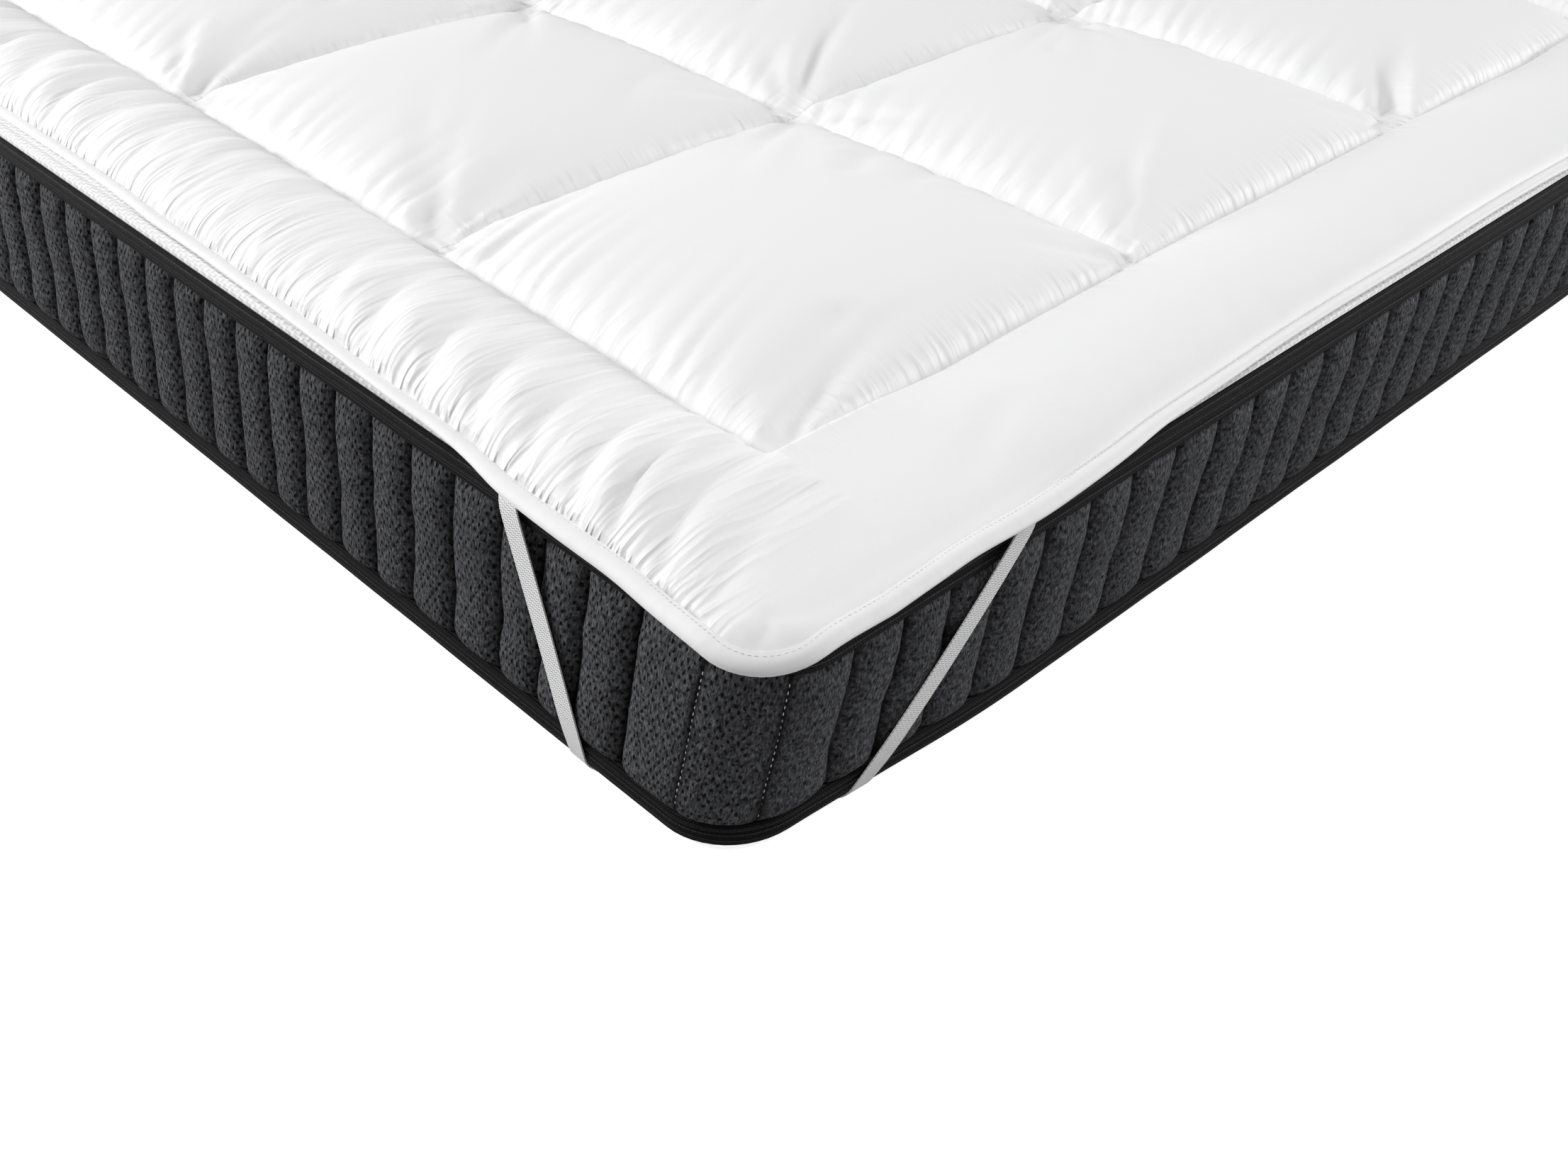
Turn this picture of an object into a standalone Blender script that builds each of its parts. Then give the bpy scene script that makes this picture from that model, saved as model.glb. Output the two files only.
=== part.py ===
"""A quilted mattress topper, held by elastic corner straps on the mattress that it covers.

Metres, +Z up. The origin is under the middle of the whole thing, on the surface it stands on.
X runs across the bed, Y along it. Every piece is first laid out on an upright mattress, as a
distance outwards from its side and a height, and settle() then gives it the lean of the real one.
"""

import math
from collections import namedtuple

import bmesh
import bpy
from mathutils import Vector

# Mattress
WIDTH = 1.600
LENGTH = 2.000
HEIGHT = 0.200
CORNER_RADIUS = 0.060
LEAN = Vector((0.0115, -0.0140))  # the top edge stands this far off the bottom edge
LEAN_PIVOT = 0.85  # the share of the height that the lean leaves where it was
TUCK = 0.018  # the straps draw the bottom of each corner in along the short sides
TUCK_REACH = 0.300
GAP = 0.0003

# Ribs of the side band, one wide rib round each corner
CORNER_RIB = 0.057
RIBS_SHORT = 29
RIBS_LONG = 39
RIB_SHOULDER = 0.28

BorderRow = namedtuple("BorderRow", "height swell rib_depth")
BORDER_ROWS = (
    BorderRow(0.0258, -0.0050, 0.0015),
    BorderRow(0.0520, 0.0022, 0.0060),
    BorderRow(0.1000, 0.0045, 0.0065),
    BorderRow(0.1480, 0.0022, 0.0060),
    BorderRow(0.1742, -0.0050, 0.0015),
)

# Under each corner the bottom panel lifts off the surface to let the strap through
LIFT = 0.0020
REST_INSET = 0.022
LIFT_INSET = 0.016
REST_PAST_STRAP = 0.020
LIFT_PAST_STRAP = 0.0125

# Sections through the panels and tapes: distance outwards from the mattress's side, and height
Section = namedtuple("Section", "out height")
TOP_PANEL = (
    Section(-0.0055, 0.1745),
    Section(-0.0055, 0.1955),
    Section(-0.0120, 0.2000),
)
BOTTOM_PANEL_SIDE = (
    Section(-0.0100, LIFT),
    Section(-0.0055, 0.0045),
    Section(-0.0055, 0.0255),
)
TOP_TAPE = (
    Section(-0.0030, 0.1725),
    Section(0.0005, 0.1715),
    Section(0.0020, 0.1860),
    Section(0.0010, 0.1980),
    Section(-0.0025, 0.2012),
    Section(-0.0052, 0.1990),
)
BOTTOM_TAPE = (
    Section(-0.0030, 0.0290),
    Section(0.0005, 0.0300),
    Section(0.0020, 0.0150),
    Section(0.0012, 0.0045),
    Section(-0.0020, 0.0020),
    Section(-0.0052, 0.0045),
)

# Section through the binding, laid flat: distance outwards from the pad's edge, and height
BINDING_SECTION = (
    Section(GAP, 0.0000),
    Section(GAP, 0.0045),
    Section(0.0063, 0.0049),
    Section(0.0130, 0.0038),
    Section(0.0140, 0.0006),
)
BINDING_WIDTH = BINDING_SECTION[-1].out
EDGE_THICKNESS = BINDING_SECTION[1].height

# Topper, laid flat
TOPPER_WIDTH = 1.640
TOPPER_LENGTH = 2.030
TOPPER_RADIUS = 0.055
STRIP_X = 0.1585  # the border strips, binding included
STRIP_Y = 0.1675
CELLS_X = 3
CELLS_Y = 4
QUILTING_SHIFT = 0.008  # the quilting sits a little nearer to the +X edge
SEAM_THICKNESS = 0.0075
CELL_CROWN = 0.034
STRIP_CROWN = 0.024
CROWN_SQUARENESS = 0.6
CROSS_SEAM_DIP = 0.15  # the share of its crown that a strip loses where a cell's seam meets it
STRIP_SKEW = 0.8  # under 1, a strip is fullest outside its middle

# Ridges of the cloth that is gathered along the long sides
GATHER_DEPTH = 0.0045
GATHER_EVENNESS = 0.65
GATHER_WANDER = (2.3, 0.7)  # radians a row

# Between its corners each edge of the topper draws in
BOW_LONG = 0.043
BOW_SHORT = 0.026
BOW_START = 0.200
BOW_RUN = 0.450
BOW_HOLD = 4  # how quickly the bow dies out towards the topper's middle

# Steps of the topper's surface, as fractions of a strip (from its edge) and of a cell
STRIP_STEPS = (0.0, 0.07, 0.15, 0.25, 0.38, 0.65)
CELL_STEPS_X = (0.0, 0.14, 0.38, 0.62, 0.86)
CELL_ROWS_Y = 16
CELL_STEPS_Y = tuple(row / CELL_ROWS_Y for row in range(CELL_ROWS_Y))
UNDERSIDE_RIM = 2  # steps of the underside, in from its edge, that turn down with the pad

# Where the topper lies on the mattress and turns down over its edge
LIE = HEIGHT + GAP
TAPE_CLEARANCE = 0.0050
RISE_FROM = -0.030
RISE_RUN = 0.020
TURN_START = -0.002
TURN_RADIUS = 0.009
TURN_LIMIT = 1.45

# Corner strap: where its middle line leaves the binding and goes under the mattress, measured
# from the corner along the long and the short side
STRAP_WIDTH = 0.021
STRAP_THICKNESS = 0.0012
STRAP_LONG_TOP = 0.260
STRAP_LONG_FOOT = 0.174
STRAP_SHORT_TOP = 0.2475
STRAP_SHORT_FOOT = 0.136
STRAP_UNDER = 0.0009
UNDER_INSET = 0.09  # the share of the way across at which the run under the corner starts
UNDER_STEPS = 5

# Down one side: slant is 1 where the strap's ends are square to it and 0 where they are level,
# and turn is the share of a quarter turn that brings it under the mattress
StrapRow = namedtuple("StrapRow", "height out slant turn")
STRAP_RUN = (
    StrapRow(0.1900, 0.0031, 1.0, 0.0),
    StrapRow(0.1800, 0.0034, 1.0, 0.0),
    StrapRow(0.1600, 0.0050, 1.0, 0.0),
    StrapRow(0.1300, 0.0064, 1.0, 0.0),
    StrapRow(0.1000, 0.0068, 1.0, 0.0),
    StrapRow(0.0700, 0.0064, 1.0, 0.0),
    StrapRow(0.0420, 0.0050, 1.0, 0.0),
    StrapRow(0.0240, 0.0038, 0.5, 0.0),
    StrapRow(0.0100, 0.0034, 0.0, 0.1),
    StrapRow(0.0030, 0.0024, 0.0, 0.5),
    StrapRow(0.0009, -0.0006, 0.0, 1.0),
)

Corner = namedtuple("Corner", "name side_x side_y")
CORNERS = (
    Corner("strap_front_left", -1, -1),
    Corner("strap_front_right", 1, -1),
    Corner("strap_back_left", -1, 1),
    Corner("strap_back_right", 1, 1),
)

# Steps along the panels and tapes: round a corner, and along a short side near each corner
CORNER_STEPS = 6
SIDE_STEPS = (0.04, 0.08, 0.13, 0.18, 0.24)

ROUNDING = 1e-6
SHARP_ANGLE = math.radians(40)

Finish = namedtuple("Finish", "color roughness")
QUILT_CLOTH = Finish((0.90, 0.90, 0.90), 0.55)
BINDING_CLOTH = Finish((0.88, 0.88, 0.88), 0.60)
ELASTIC = Finish((0.80, 0.80, 0.80), 0.70)
CHARCOAL_KNIT = Finish((0.045, 0.047, 0.050), 0.95)
WHITE_KNIT = Finish((0.82, 0.82, 0.82), 0.85)
BLACK_TAPE = Finish((0.012, 0.012, 0.013), 0.80)


def smooth_step(value):
    value = min(max(value, 0.0), 1.0)
    return value * value * (3 - 2 * value)


def clear_scene():
    for obj in list(bpy.data.objects):
        bpy.data.objects.remove(obj, do_unlink=True)


def make_material(name, finish):
    material = bpy.data.materials.new(name)
    material.use_nodes = True
    shader = material.node_tree.nodes["Principled BSDF"]
    shader.inputs["Base Color"].default_value = (*finish.color, 1.0)
    shader.inputs["Roughness"].default_value = finish.roughness
    shader.inputs["Metallic"].default_value = 0.0
    return material


def add_object(name, form, collection, finish):
    """Turns the form's faces outwards and puts it in the scene as a piece of its own."""
    bmesh.ops.recalc_face_normals(form, faces=form.faces)
    mesh = bpy.data.meshes.new(name)
    form.to_mesh(mesh)
    form.free()
    mesh.shade_smooth()
    mesh.set_sharp_from_angle(angle=SHARP_ANGLE)
    mesh.materials.append(make_material(name, finish))
    collection.objects.link(bpy.data.objects.new(name, mesh))


def settle(point):
    """Moves a point of the upright mattress to where it is on the leaning one."""
    share = min(max(point.z / HEIGHT, 0.0), 1.0)
    from_long_side = (WIDTH / 2 - abs(point.x)) / TUCK_REACH
    from_short_side = (LENGTH / 2 - abs(point.y)) / TUCK_REACH
    tuck = TUCK * (1 - smooth_step(from_long_side)) * (1 - smooth_step(from_short_side))
    lean = LEAN * (share - LEAN_PIVOT)
    drawn_in = math.copysign(tuck * (1 - share), point.y)
    return Vector((point.x + lean.x, point.y + lean.y - drawn_in, point.z))


def perimeter():
    straight = 2 * (WIDTH + LENGTH) - 8 * CORNER_RADIUS
    return straight + 2 * math.pi * CORNER_RADIUS


def outline_at(distance):
    """The point and outward normal on the mattress's outline, measured from the front left
    corner's middle, anticlockwise from above."""
    half_x, half_y = WIDTH / 2 - CORNER_RADIUS, LENGTH / 2 - CORNER_RADIUS
    quarter = CORNER_RADIUS * math.pi / 2
    centres = ((-1, -1), (1, -1), (1, 1), (-1, 1))
    position = distance + quarter / 2
    for index, (side_x, side_y) in enumerate(centres):
        straight = 2 * (half_x if index % 2 == 0 else half_y)
        start = math.pi + index * math.pi / 2
        centre = Vector((side_x * half_x, side_y * half_y))
        angle = start + min(position, quarter) / CORNER_RADIUS
        normal = Vector((math.cos(angle), math.sin(angle)))
        point = centre + normal * CORNER_RADIUS
        if position <= quarter:
            return point, normal
        position -= quarter
        if position <= straight:
            return point + Vector((-normal.y, normal.x)) * position, normal
        position -= straight
    return outline_at(distance - perimeter())


def side_point(distance, out, height):
    point, normal = outline_at(distance)
    return settle((point + normal * out).to_3d() + Vector((0, 0, height)))


def side_rings(sections):
    """A ring of points round the mattress for each section."""
    stations = plain_stations()
    return [[side_point(s, row.out, row.height) for s in stations] for row in sections]


def corner_middles():
    """Distances round the outline to the middle of each corner, and of the first one again."""
    quarter = CORNER_RADIUS * math.pi / 2
    short = WIDTH - 2 * CORNER_RADIUS + quarter
    long = LENGTH - 2 * CORNER_RADIUS + quarter
    return (0.0, short, short + long, 2 * short + long, 2 * (short + long))


def plain_stations():
    """Distances round the outline for the panels and tapes."""
    quarter = CORNER_RADIUS * math.pi / 2
    stations = []
    middles = corner_middles()
    for index, (start, end) in enumerate(zip(middles, middles[1:])):
        for step in range(CORNER_STEPS // 2, CORNER_STEPS + 1):
            stations.append(start + quarter * (step / CORNER_STEPS - 0.5))
        first, last = start + quarter / 2, end - quarter / 2
        if index % 2 == 0:
            stations += [first + step for step in SIDE_STEPS]
            stations += [last - step for step in reversed(SIDE_STEPS)]
        for step in range(CORNER_STEPS // 2):
            stations.append(last + quarter * step / CORNER_STEPS)
    return stations


def rib_stations():
    """Distances round the outline with how far each stands out: 0 in a seam, 1 on a rib."""
    stations = []
    middles = corner_middles()
    for index, (start, end) in enumerate(zip(middles, middles[1:])):
        count = RIBS_SHORT if index % 2 == 0 else RIBS_LONG
        first = start + CORNER_RIB / 2
        pitch = (end - CORNER_RIB / 2 - first) / count
        ribs = [(start - CORNER_RIB / 2, CORNER_RIB)]
        ribs += [(first + rib * pitch, pitch) for rib in range(count)]
        for seam, width in ribs:
            stations.append((seam, 0.0))
            stations.append((seam + RIB_SHOULDER * width, 1.0))
            stations.append((seam + (1 - RIB_SHOULDER) * width, 1.0))
    return stations


def loft(rings, joined=False):
    """A closed form through rings of points. Joined, its last ring meets its first, with no
    ends; otherwise its first and last rings are filled."""
    form = bmesh.new()
    rows = [[form.verts.new(point) for point in ring] for ring in rings]
    pairs = list(zip(rows, rows[1:]))
    if joined:
        pairs.append((rows[-1], rows[0]))
    else:
        form.faces.new(rows[0])
        form.faces.new(rows[-1])
    for lower, upper in pairs:
        for index in range(len(lower)):
            after = (index + 1) % len(lower)
            form.faces.new((lower[index], lower[after], upper[after], upper[index]))
    return form


def make_border(collection):
    stations = rib_stations()
    rings = []
    for row in BORDER_ROWS:
        ring = []
        for distance, raised in stations:
            out = row.swell - row.rib_depth * (1 - raised)
            ring.append(side_point(distance, out, row.height))
        rings.append(ring)
    add_object("mattress_border", loft(rings), collection, CHARCOAL_KNIT)


def strap_line():
    """Where the strap's middle line runs under the corner: its unit normal, as distances in
    from the long and the short side, and its distance from the corner along that normal."""
    normal = Vector((STRAP_LONG_FOOT, STRAP_SHORT_FOOT)).normalized()
    return normal, normal.x * STRAP_SHORT_FOOT


def cut_corner_ring(inset, past_strap, height):
    """A ring of the bottom panel: straight sides with each corner cut off inside its strap.
    It has the same points as plain_stations."""
    normal, reach = strap_line()
    reach += past_strap
    on_short = Vector(((reach - normal.y * inset) / normal.x, inset))
    on_long = Vector((inset, (reach - normal.x * inset) / normal.y))
    limit = WIDTH / 2 - on_short.x
    quarter = CORNER_RADIUS * math.pi / 2
    middles = corner_middles()
    ring = []
    for distance in plain_stations():
        point, outward = outline_at(distance)
        offset = min((distance - middle for middle in middles), key=abs)
        if abs(offset) > quarter / 2 + ROUNDING:
            flat = point - outward * inset
            flat.x = min(max(flat.x, -limit), limit)
        else:
            # Anticlockwise, the front left and back right corners start on their long side.
            share = offset / quarter + 0.5
            if point.x * point.y < 0:
                share = 1 - share
            near = on_long.lerp(on_short, share)
            flat = Vector((math.copysign(WIDTH / 2 - near.x, point.x),
                           math.copysign(LENGTH / 2 - near.y, point.y)))
        ring.append(settle(flat.to_3d() + Vector((0, 0, height))))
    return ring


def make_panels(collection):
    add_object("mattress_top_panel", loft(side_rings(TOP_PANEL)), collection, WHITE_KNIT)
    rings = [
        cut_corner_ring(REST_INSET, REST_PAST_STRAP, 0.0),
        cut_corner_ring(LIFT_INSET, LIFT_PAST_STRAP, LIFT),
    ]
    rings += side_rings(BOTTOM_PANEL_SIDE)
    add_object("mattress_bottom_panel", loft(rings), collection, WHITE_KNIT)


def make_tapes(collection):
    for name, sections in (("mattress_top_tape", TOP_TAPE), ("mattress_bottom_tape", BOTTOM_TAPE)):
        add_object(name, loft(side_rings(sections), joined=True), collection, BLACK_TAPE)


def quilt_steps(length, strip, cells, cell_steps, shift):
    """Places across the topper with the strip or cell that each is in: (place, share), where
    share runs 0 to 1 over a cell, and 0 to -1 from a border strip's inner seam to its edge."""
    half = length / 2 - BINDING_WIDTH
    width = strip - BINDING_WIDTH
    near, far = -half + width + shift, half - width + shift
    cell = (far - near) / cells
    steps = [(-half + (near + half) * s, s - 1) for s in STRIP_STEPS]
    for index in range(cells):
        steps += [(near + cell * (index + s), s) for s in cell_steps]
    steps.append((far, 0.0))
    steps += [(half - (half - far) * s, s - 1) for s in reversed(STRIP_STEPS)]
    return steps


def quilt_columns():
    return quilt_steps(TOPPER_WIDTH, STRIP_X, CELLS_X, CELL_STEPS_X, QUILTING_SHIFT)


def quilt_rows():
    return quilt_steps(TOPPER_LENGTH, STRIP_Y, CELLS_Y, CELL_STEPS_Y, 0.0)


def quilt_half_sizes():
    return TOPPER_WIDTH / 2 - BINDING_WIDTH, TOPPER_LENGTH / 2 - BINDING_WIDTH


def fullness(share):
    """How full the filling is at this share of a cell, or of a strip if it is negative."""
    across = share if share >= 0 else (1 + share) ** STRIP_SKEW
    return max(math.sin(math.pi * across), 0.0) ** CROWN_SQUARENESS


def gather(row, share):
    """The ridges that the gathered cloth throws up across a long side's strip."""
    wander = math.sin(GATHER_WANDER[0] * row) * math.cos(GATHER_WANDER[1] * row)
    size = GATHER_EVENNESS + (1 - GATHER_EVENNESS) * wander
    return GATHER_DEPTH * size * math.cos(math.pi * row) * fullness(share)


def quilt_thickness(share_x, share_y, row):
    """The pad's thickness from where a point lies in its cell or strip."""
    full_x, full_y = fullness(share_x), fullness(share_y)
    near_edge = max(-share_x, -share_y, 0.0)
    base = SEAM_THICKNESS + (EDGE_THICKNESS - SEAM_THICKNESS) * near_edge
    if share_x < 0 and share_y < 0:
        return base + STRIP_CROWN * min(full_x, full_y)
    if share_x < 0:
        crown = STRIP_CROWN * full_x * (1 - CROSS_SEAM_DIP * (1 - full_y))
        return base + crown + gather(row, share_x)
    if share_y < 0:
        return base + STRIP_CROWN * full_y * (1 - CROSS_SEAM_DIP * (1 - full_x))
    return base + CELL_CROWN * full_x * full_y


def round_corner(x, y, half_x, half_y, radius):
    """Turns the square corner of a grid into a round one."""
    past_x, past_y = abs(x) - (half_x - radius), abs(y) - (half_y - radius)
    if past_x <= 0 or past_y <= 0:
        return x, y
    scale = max(past_x, past_y) / math.hypot(past_x, past_y)
    return (math.copysign(half_x - radius + past_x * scale, x),
            math.copysign(half_y - radius + past_y * scale, y))


def bow(x, y):
    """Draws the topper's edges in between its corners, less and less towards the middle."""
    half_x, half_y = TOPPER_WIDTH / 2, TOPPER_LENGTH / 2
    along_long = smooth_step((half_y - abs(y) - BOW_START) / BOW_RUN)
    along_short = smooth_step((half_x - abs(x) - BOW_START) / BOW_RUN)
    in_x = BOW_LONG * along_long * (abs(x) / half_x) ** BOW_HOLD
    in_y = BOW_SHORT * along_short * (abs(y) / half_y) ** BOW_HOLD
    return x - math.copysign(in_x, x), y - math.copysign(in_y, y)


def past_rectangle(x, y, half_x, half_y, radius):
    """Distance outwards from a rectangle with round corners, and the direction outwards."""
    from_x, from_y = abs(x) - (half_x - radius), abs(y) - (half_y - radius)
    if from_x > 0 and from_y > 0:
        away = Vector((from_x, from_y))
        normal, distance = away.normalized(), away.length - radius
    elif from_x > from_y:
        normal, distance = Vector((1, 0)), from_x - radius
    else:
        normal, distance = Vector((0, 1)), from_y - radius
    return distance, Vector((math.copysign(normal.x, x), math.copysign(normal.y, y)))


def drape(x, y, above):
    """Lays a point of the flat topper on the mattress and turns it down past the edge.
    Above is its distance over the topper's underside."""
    x, y = bow(x, y)
    distance, normal = past_rectangle(x, y, WIDTH / 2, LENGTH / 2, CORNER_RADIUS)
    base = LIE + TAPE_CLEARANCE * smooth_step((distance - RISE_FROM) / RISE_RUN)
    past = distance - TURN_START
    if past <= 0:
        return settle(Vector((x, y, base + above)))
    angle = min(past / TURN_RADIUS, TURN_LIMIT)
    straight = max(past - TURN_RADIUS * TURN_LIMIT, 0.0)
    out = TURN_RADIUS * math.sin(angle) + straight * math.cos(angle) + above * math.sin(angle)
    down = TURN_RADIUS * (1 - math.cos(angle)) + straight * math.sin(angle)
    foot = Vector((x, y)) + normal * (out - past)
    return settle(Vector((foot.x, foot.y, base - down + above * math.cos(angle))))


def flatten_underside(form, first, last_column, last_row):
    """Makes one face of the underside where it lies flat on the mattress. Its points follow
    each other row by row from the one numbered first."""
    form.verts.ensure_lookup_table()
    inner = []
    for face in form.faces:
        numbers = [vert.index - first for vert in face.verts]
        columns = [number % (last_column + 1) for number in numbers]
        rows = [number // (last_column + 1) for number in numbers]
        inside_x = UNDERSIDE_RIM <= min(columns) and max(columns) <= last_column - UNDERSIDE_RIM
        inside_y = UNDERSIDE_RIM <= min(rows) and max(rows) <= last_row - UNDERSIDE_RIM
        if min(numbers) >= 0 and inside_x and inside_y:
            inner.append(face)
    bmesh.ops.dissolve_faces(form, faces=inner, use_verts=True)


def make_topper(collection):
    columns, rows = quilt_columns(), quilt_rows()
    last_column, last_row = len(columns) - 1, len(rows) - 1
    half_x, half_y = quilt_half_sizes()
    form = bmesh.new()
    bmesh.ops.create_grid(form, x_segments=last_column, y_segments=last_row, size=0.5)
    bmesh.ops.duplicate(form, geom=form.verts[:] + form.edges[:] + form.faces[:])
    form.verts.ensure_lookup_table()
    top_count = len(form.verts) // 2
    for number, vert in enumerate(form.verts):
        row = round((vert.co.y + 0.5) * last_row)
        x, share_x = columns[round((vert.co.x + 0.5) * last_column)]
        y, share_y = rows[row]
        above = quilt_thickness(share_x, share_y, row) if number < top_count else 0.0
        x, y = round_corner(x, y, half_x, half_y, TOPPER_RADIUS - BINDING_WIDTH)
        vert.co = drape(x, y, above)
    rims = [edge for edge in form.edges if edge.is_boundary]
    bmesh.ops.bridge_loops(form, edges=rims)
    flatten_underside(form, top_count, last_column, last_row)
    add_object("topper", form, collection, QUILT_CLOTH)


def topper_rim():
    """Points round the pad's edge, laid flat, each with its outward normal."""
    xs = [x for x, _ in quilt_columns()]
    ys = [y for y, _ in quilt_rows()]
    half_x, half_y = quilt_half_sizes()
    radius = TOPPER_RADIUS - BINDING_WIDTH
    square = [(x, -half_y) for x in xs[:-1]] + [(half_x, y) for y in ys[:-1]]
    square += [(x, half_y) for x in reversed(xs[1:])] + [(-half_x, y) for y in reversed(ys[1:])]
    rim = []
    for x, y in square:
        x, y = round_corner(x, y, half_x, half_y, radius)
        _, normal = past_rectangle(x, y, half_x, half_y, radius)
        rim.append((Vector((x, y)), normal))
    return rim


def make_binding(collection):
    rim = topper_rim()
    rings = []
    for section in BINDING_SECTION:
        ring = []
        for point, normal in rim:
            flat = point + normal * section.out
            ring.append(drape(flat.x, flat.y, section.height))
        rings.append(ring)
    add_object("topper_binding", loft(rings, joined=True), collection, BINDING_CLOTH)


def strap_side(top, foot):
    """One side run of a strap, top to foot, beside a side that runs along the first axis:
    its middle, the direction across it, and the direction of its face."""
    drop = STRAP_RUN[0].height
    slope = Vector((foot - top, 0.0, -drop)).normalized()
    square_across = Vector((-slope.z, 0.0, slope.x))
    stations = []
    for row in STRAP_RUN:
        along = foot + (top - foot) * row.height / drop
        across = Vector((1, 0, 0)).lerp(square_across, row.slant).normalized()
        turn = row.turn * math.pi / 2
        face = Vector((0, math.cos(turn), -math.sin(turn)))
        stations.append((Vector((along, row.out, row.height)), across, face))
    return stations


def strap_stations():
    """The whole strap at one corner. X and Y are distances in from the long and short side."""
    stations = []
    for place, across, face in strap_side(STRAP_LONG_TOP, STRAP_LONG_FOOT):
        stations.append((Vector((-place.y, place.x, place.z)),
                         Vector((across.y, across.x, across.z)),
                         Vector((-face.y, face.x, face.z))))
    long_foot = Vector((0, STRAP_LONG_FOOT, STRAP_UNDER))
    short_foot = Vector((STRAP_SHORT_FOOT, 0, STRAP_UNDER))
    run = (short_foot - long_foot).normalized()
    for step in range(UNDER_STEPS):
        share = UNDER_INSET + (1 - 2 * UNDER_INSET) * step / (UNDER_STEPS - 1)
        stations.append((long_foot.lerp(short_foot, share),
                         Vector((-run.y, run.x, 0)),
                         Vector((0, 0, -1))))
    for place, across, face in reversed(strap_side(STRAP_SHORT_TOP, STRAP_SHORT_FOOT)):
        stations.append((Vector((place.x, -place.y, place.z)),
                         across,
                         Vector((face.x, -face.y, face.z))))
    return stations


def make_straps(collection):
    half, thick = STRAP_WIDTH / 2, STRAP_THICKNESS / 2
    for corner in CORNERS:
        rings = []
        for place, across, face in strap_stations():
            ring = []
            for side, level in ((-1, -1), (1, -1), (1, 1), (-1, 1)):
                near = place + across * (half * side) + face * (thick * level)
                ring.append(settle(Vector((corner.side_x * (WIDTH / 2 - near.x),
                                           corner.side_y * (LENGTH / 2 - near.y),
                                           near.z))))
            rings.append(ring)
        add_object(corner.name, loft(rings), collection, ELASTIC)


def main():
    clear_scene()
    collection = bpy.data.collections.new("mattress_topper")
    bpy.context.scene.collection.children.link(collection)
    make_panels(collection)
    make_border(collection)
    make_tapes(collection)
    make_topper(collection)
    make_binding(collection)
    make_straps(collection)


if __name__ == "__main__":
    main()
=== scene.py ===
"""Dresses a quilted mattress topper on its mattress: filled quilt, binding, straps, ribs and tapes.

Metres, +Z up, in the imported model's frame. X runs across the bed and Y along it. The topper is
laid out flat and draped over the mattress, and every piece round the mattress is laid out by its
distance round the outline, how far it stands out from the side and its height. settle() then
gives each point the lean of the real mattress, as in the part itself.
"""

import math

import bpy
import numpy as np
from mathutils import Matrix, Vector


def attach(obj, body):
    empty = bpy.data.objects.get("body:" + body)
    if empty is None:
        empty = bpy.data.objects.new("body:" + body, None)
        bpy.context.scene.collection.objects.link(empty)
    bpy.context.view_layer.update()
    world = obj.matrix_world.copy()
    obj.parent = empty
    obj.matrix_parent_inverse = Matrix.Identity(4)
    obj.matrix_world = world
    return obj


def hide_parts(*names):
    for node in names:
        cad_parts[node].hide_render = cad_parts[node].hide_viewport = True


bl_info = {
    "name": "Mattress topper on a mattress",
    "version": (1, 0, 0),
    "blender": (4, 5, 0),
    "location": "View3D > Sidebar > Bedding",
    "description": "Makes the cloth, filling, straps and stitches of a mattress topper",
    "category": "Object",
}

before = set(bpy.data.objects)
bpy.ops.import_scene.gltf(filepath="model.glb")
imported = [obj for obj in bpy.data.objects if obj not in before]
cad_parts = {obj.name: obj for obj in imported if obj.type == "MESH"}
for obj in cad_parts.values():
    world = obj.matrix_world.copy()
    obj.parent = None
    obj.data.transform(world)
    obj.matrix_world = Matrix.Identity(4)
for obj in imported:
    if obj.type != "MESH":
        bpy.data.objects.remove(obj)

# Mattress
WIDTH = 1.600
LENGTH = 2.000
HEIGHT = 0.200
CORNER_RADIUS = 0.060
LEAN = (0.0115, -0.0140)
LEAN_PIVOT = 0.85
TUCK = 0.018
TUCK_REACH = 0.300
# Distances of the seams between ribs from a corner's middle, along a short and a long side
SHORT_SEAMS = (0.0175, 0.0770, 0.1235, 0.1690, 0.2215, 0.2715, 0.3245, 0.3756, 0.4316, 0.4890,
               0.5400, 0.5930)
LONG_SEAMS = (0.0405, 0.1080, 0.1640, 0.2115, 0.2600, 0.3180, 0.3725, 0.4240, 0.4745, 0.5250,
              0.5720, 0.6235)
OTHER_CORNER_SEAM = 0.0285
RIB_PITCH = 0.0516

# Topper, laid flat
TOPPER_WIDTH = 1.640
TOPPER_LENGTH = 2.030
TOPPER_RADIUS = 0.055
BINDING_WIDTH = 0.014
EDGE_THICKNESS = 0.0034
SEAM_THICKNESS = 0.0060
STRIP_X = 0.1585
STRIP_Y = 0.1675
CELLS_X = 3
CELLS_Y = 4
QUILTING_SHIFT = 0.008
BOW_LONG = ((0.065, 0.0000), (0.115, 0.0030), (0.145, 0.0061), (0.215, 0.0071), (0.265, 0.0086),
            (0.285, 0.0101), (0.315, 0.0153), (0.365, 0.0198), (0.415, 0.0206), (0.465, 0.0230),
            (0.515, 0.0262), (0.565, 0.0282), (0.615, 0.0298), (0.665, 0.0314), (0.715, 0.0330),
            (0.815, 0.0342), (0.865, 0.0378), (0.915, 0.0390), (1.000, 0.0394))
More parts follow.
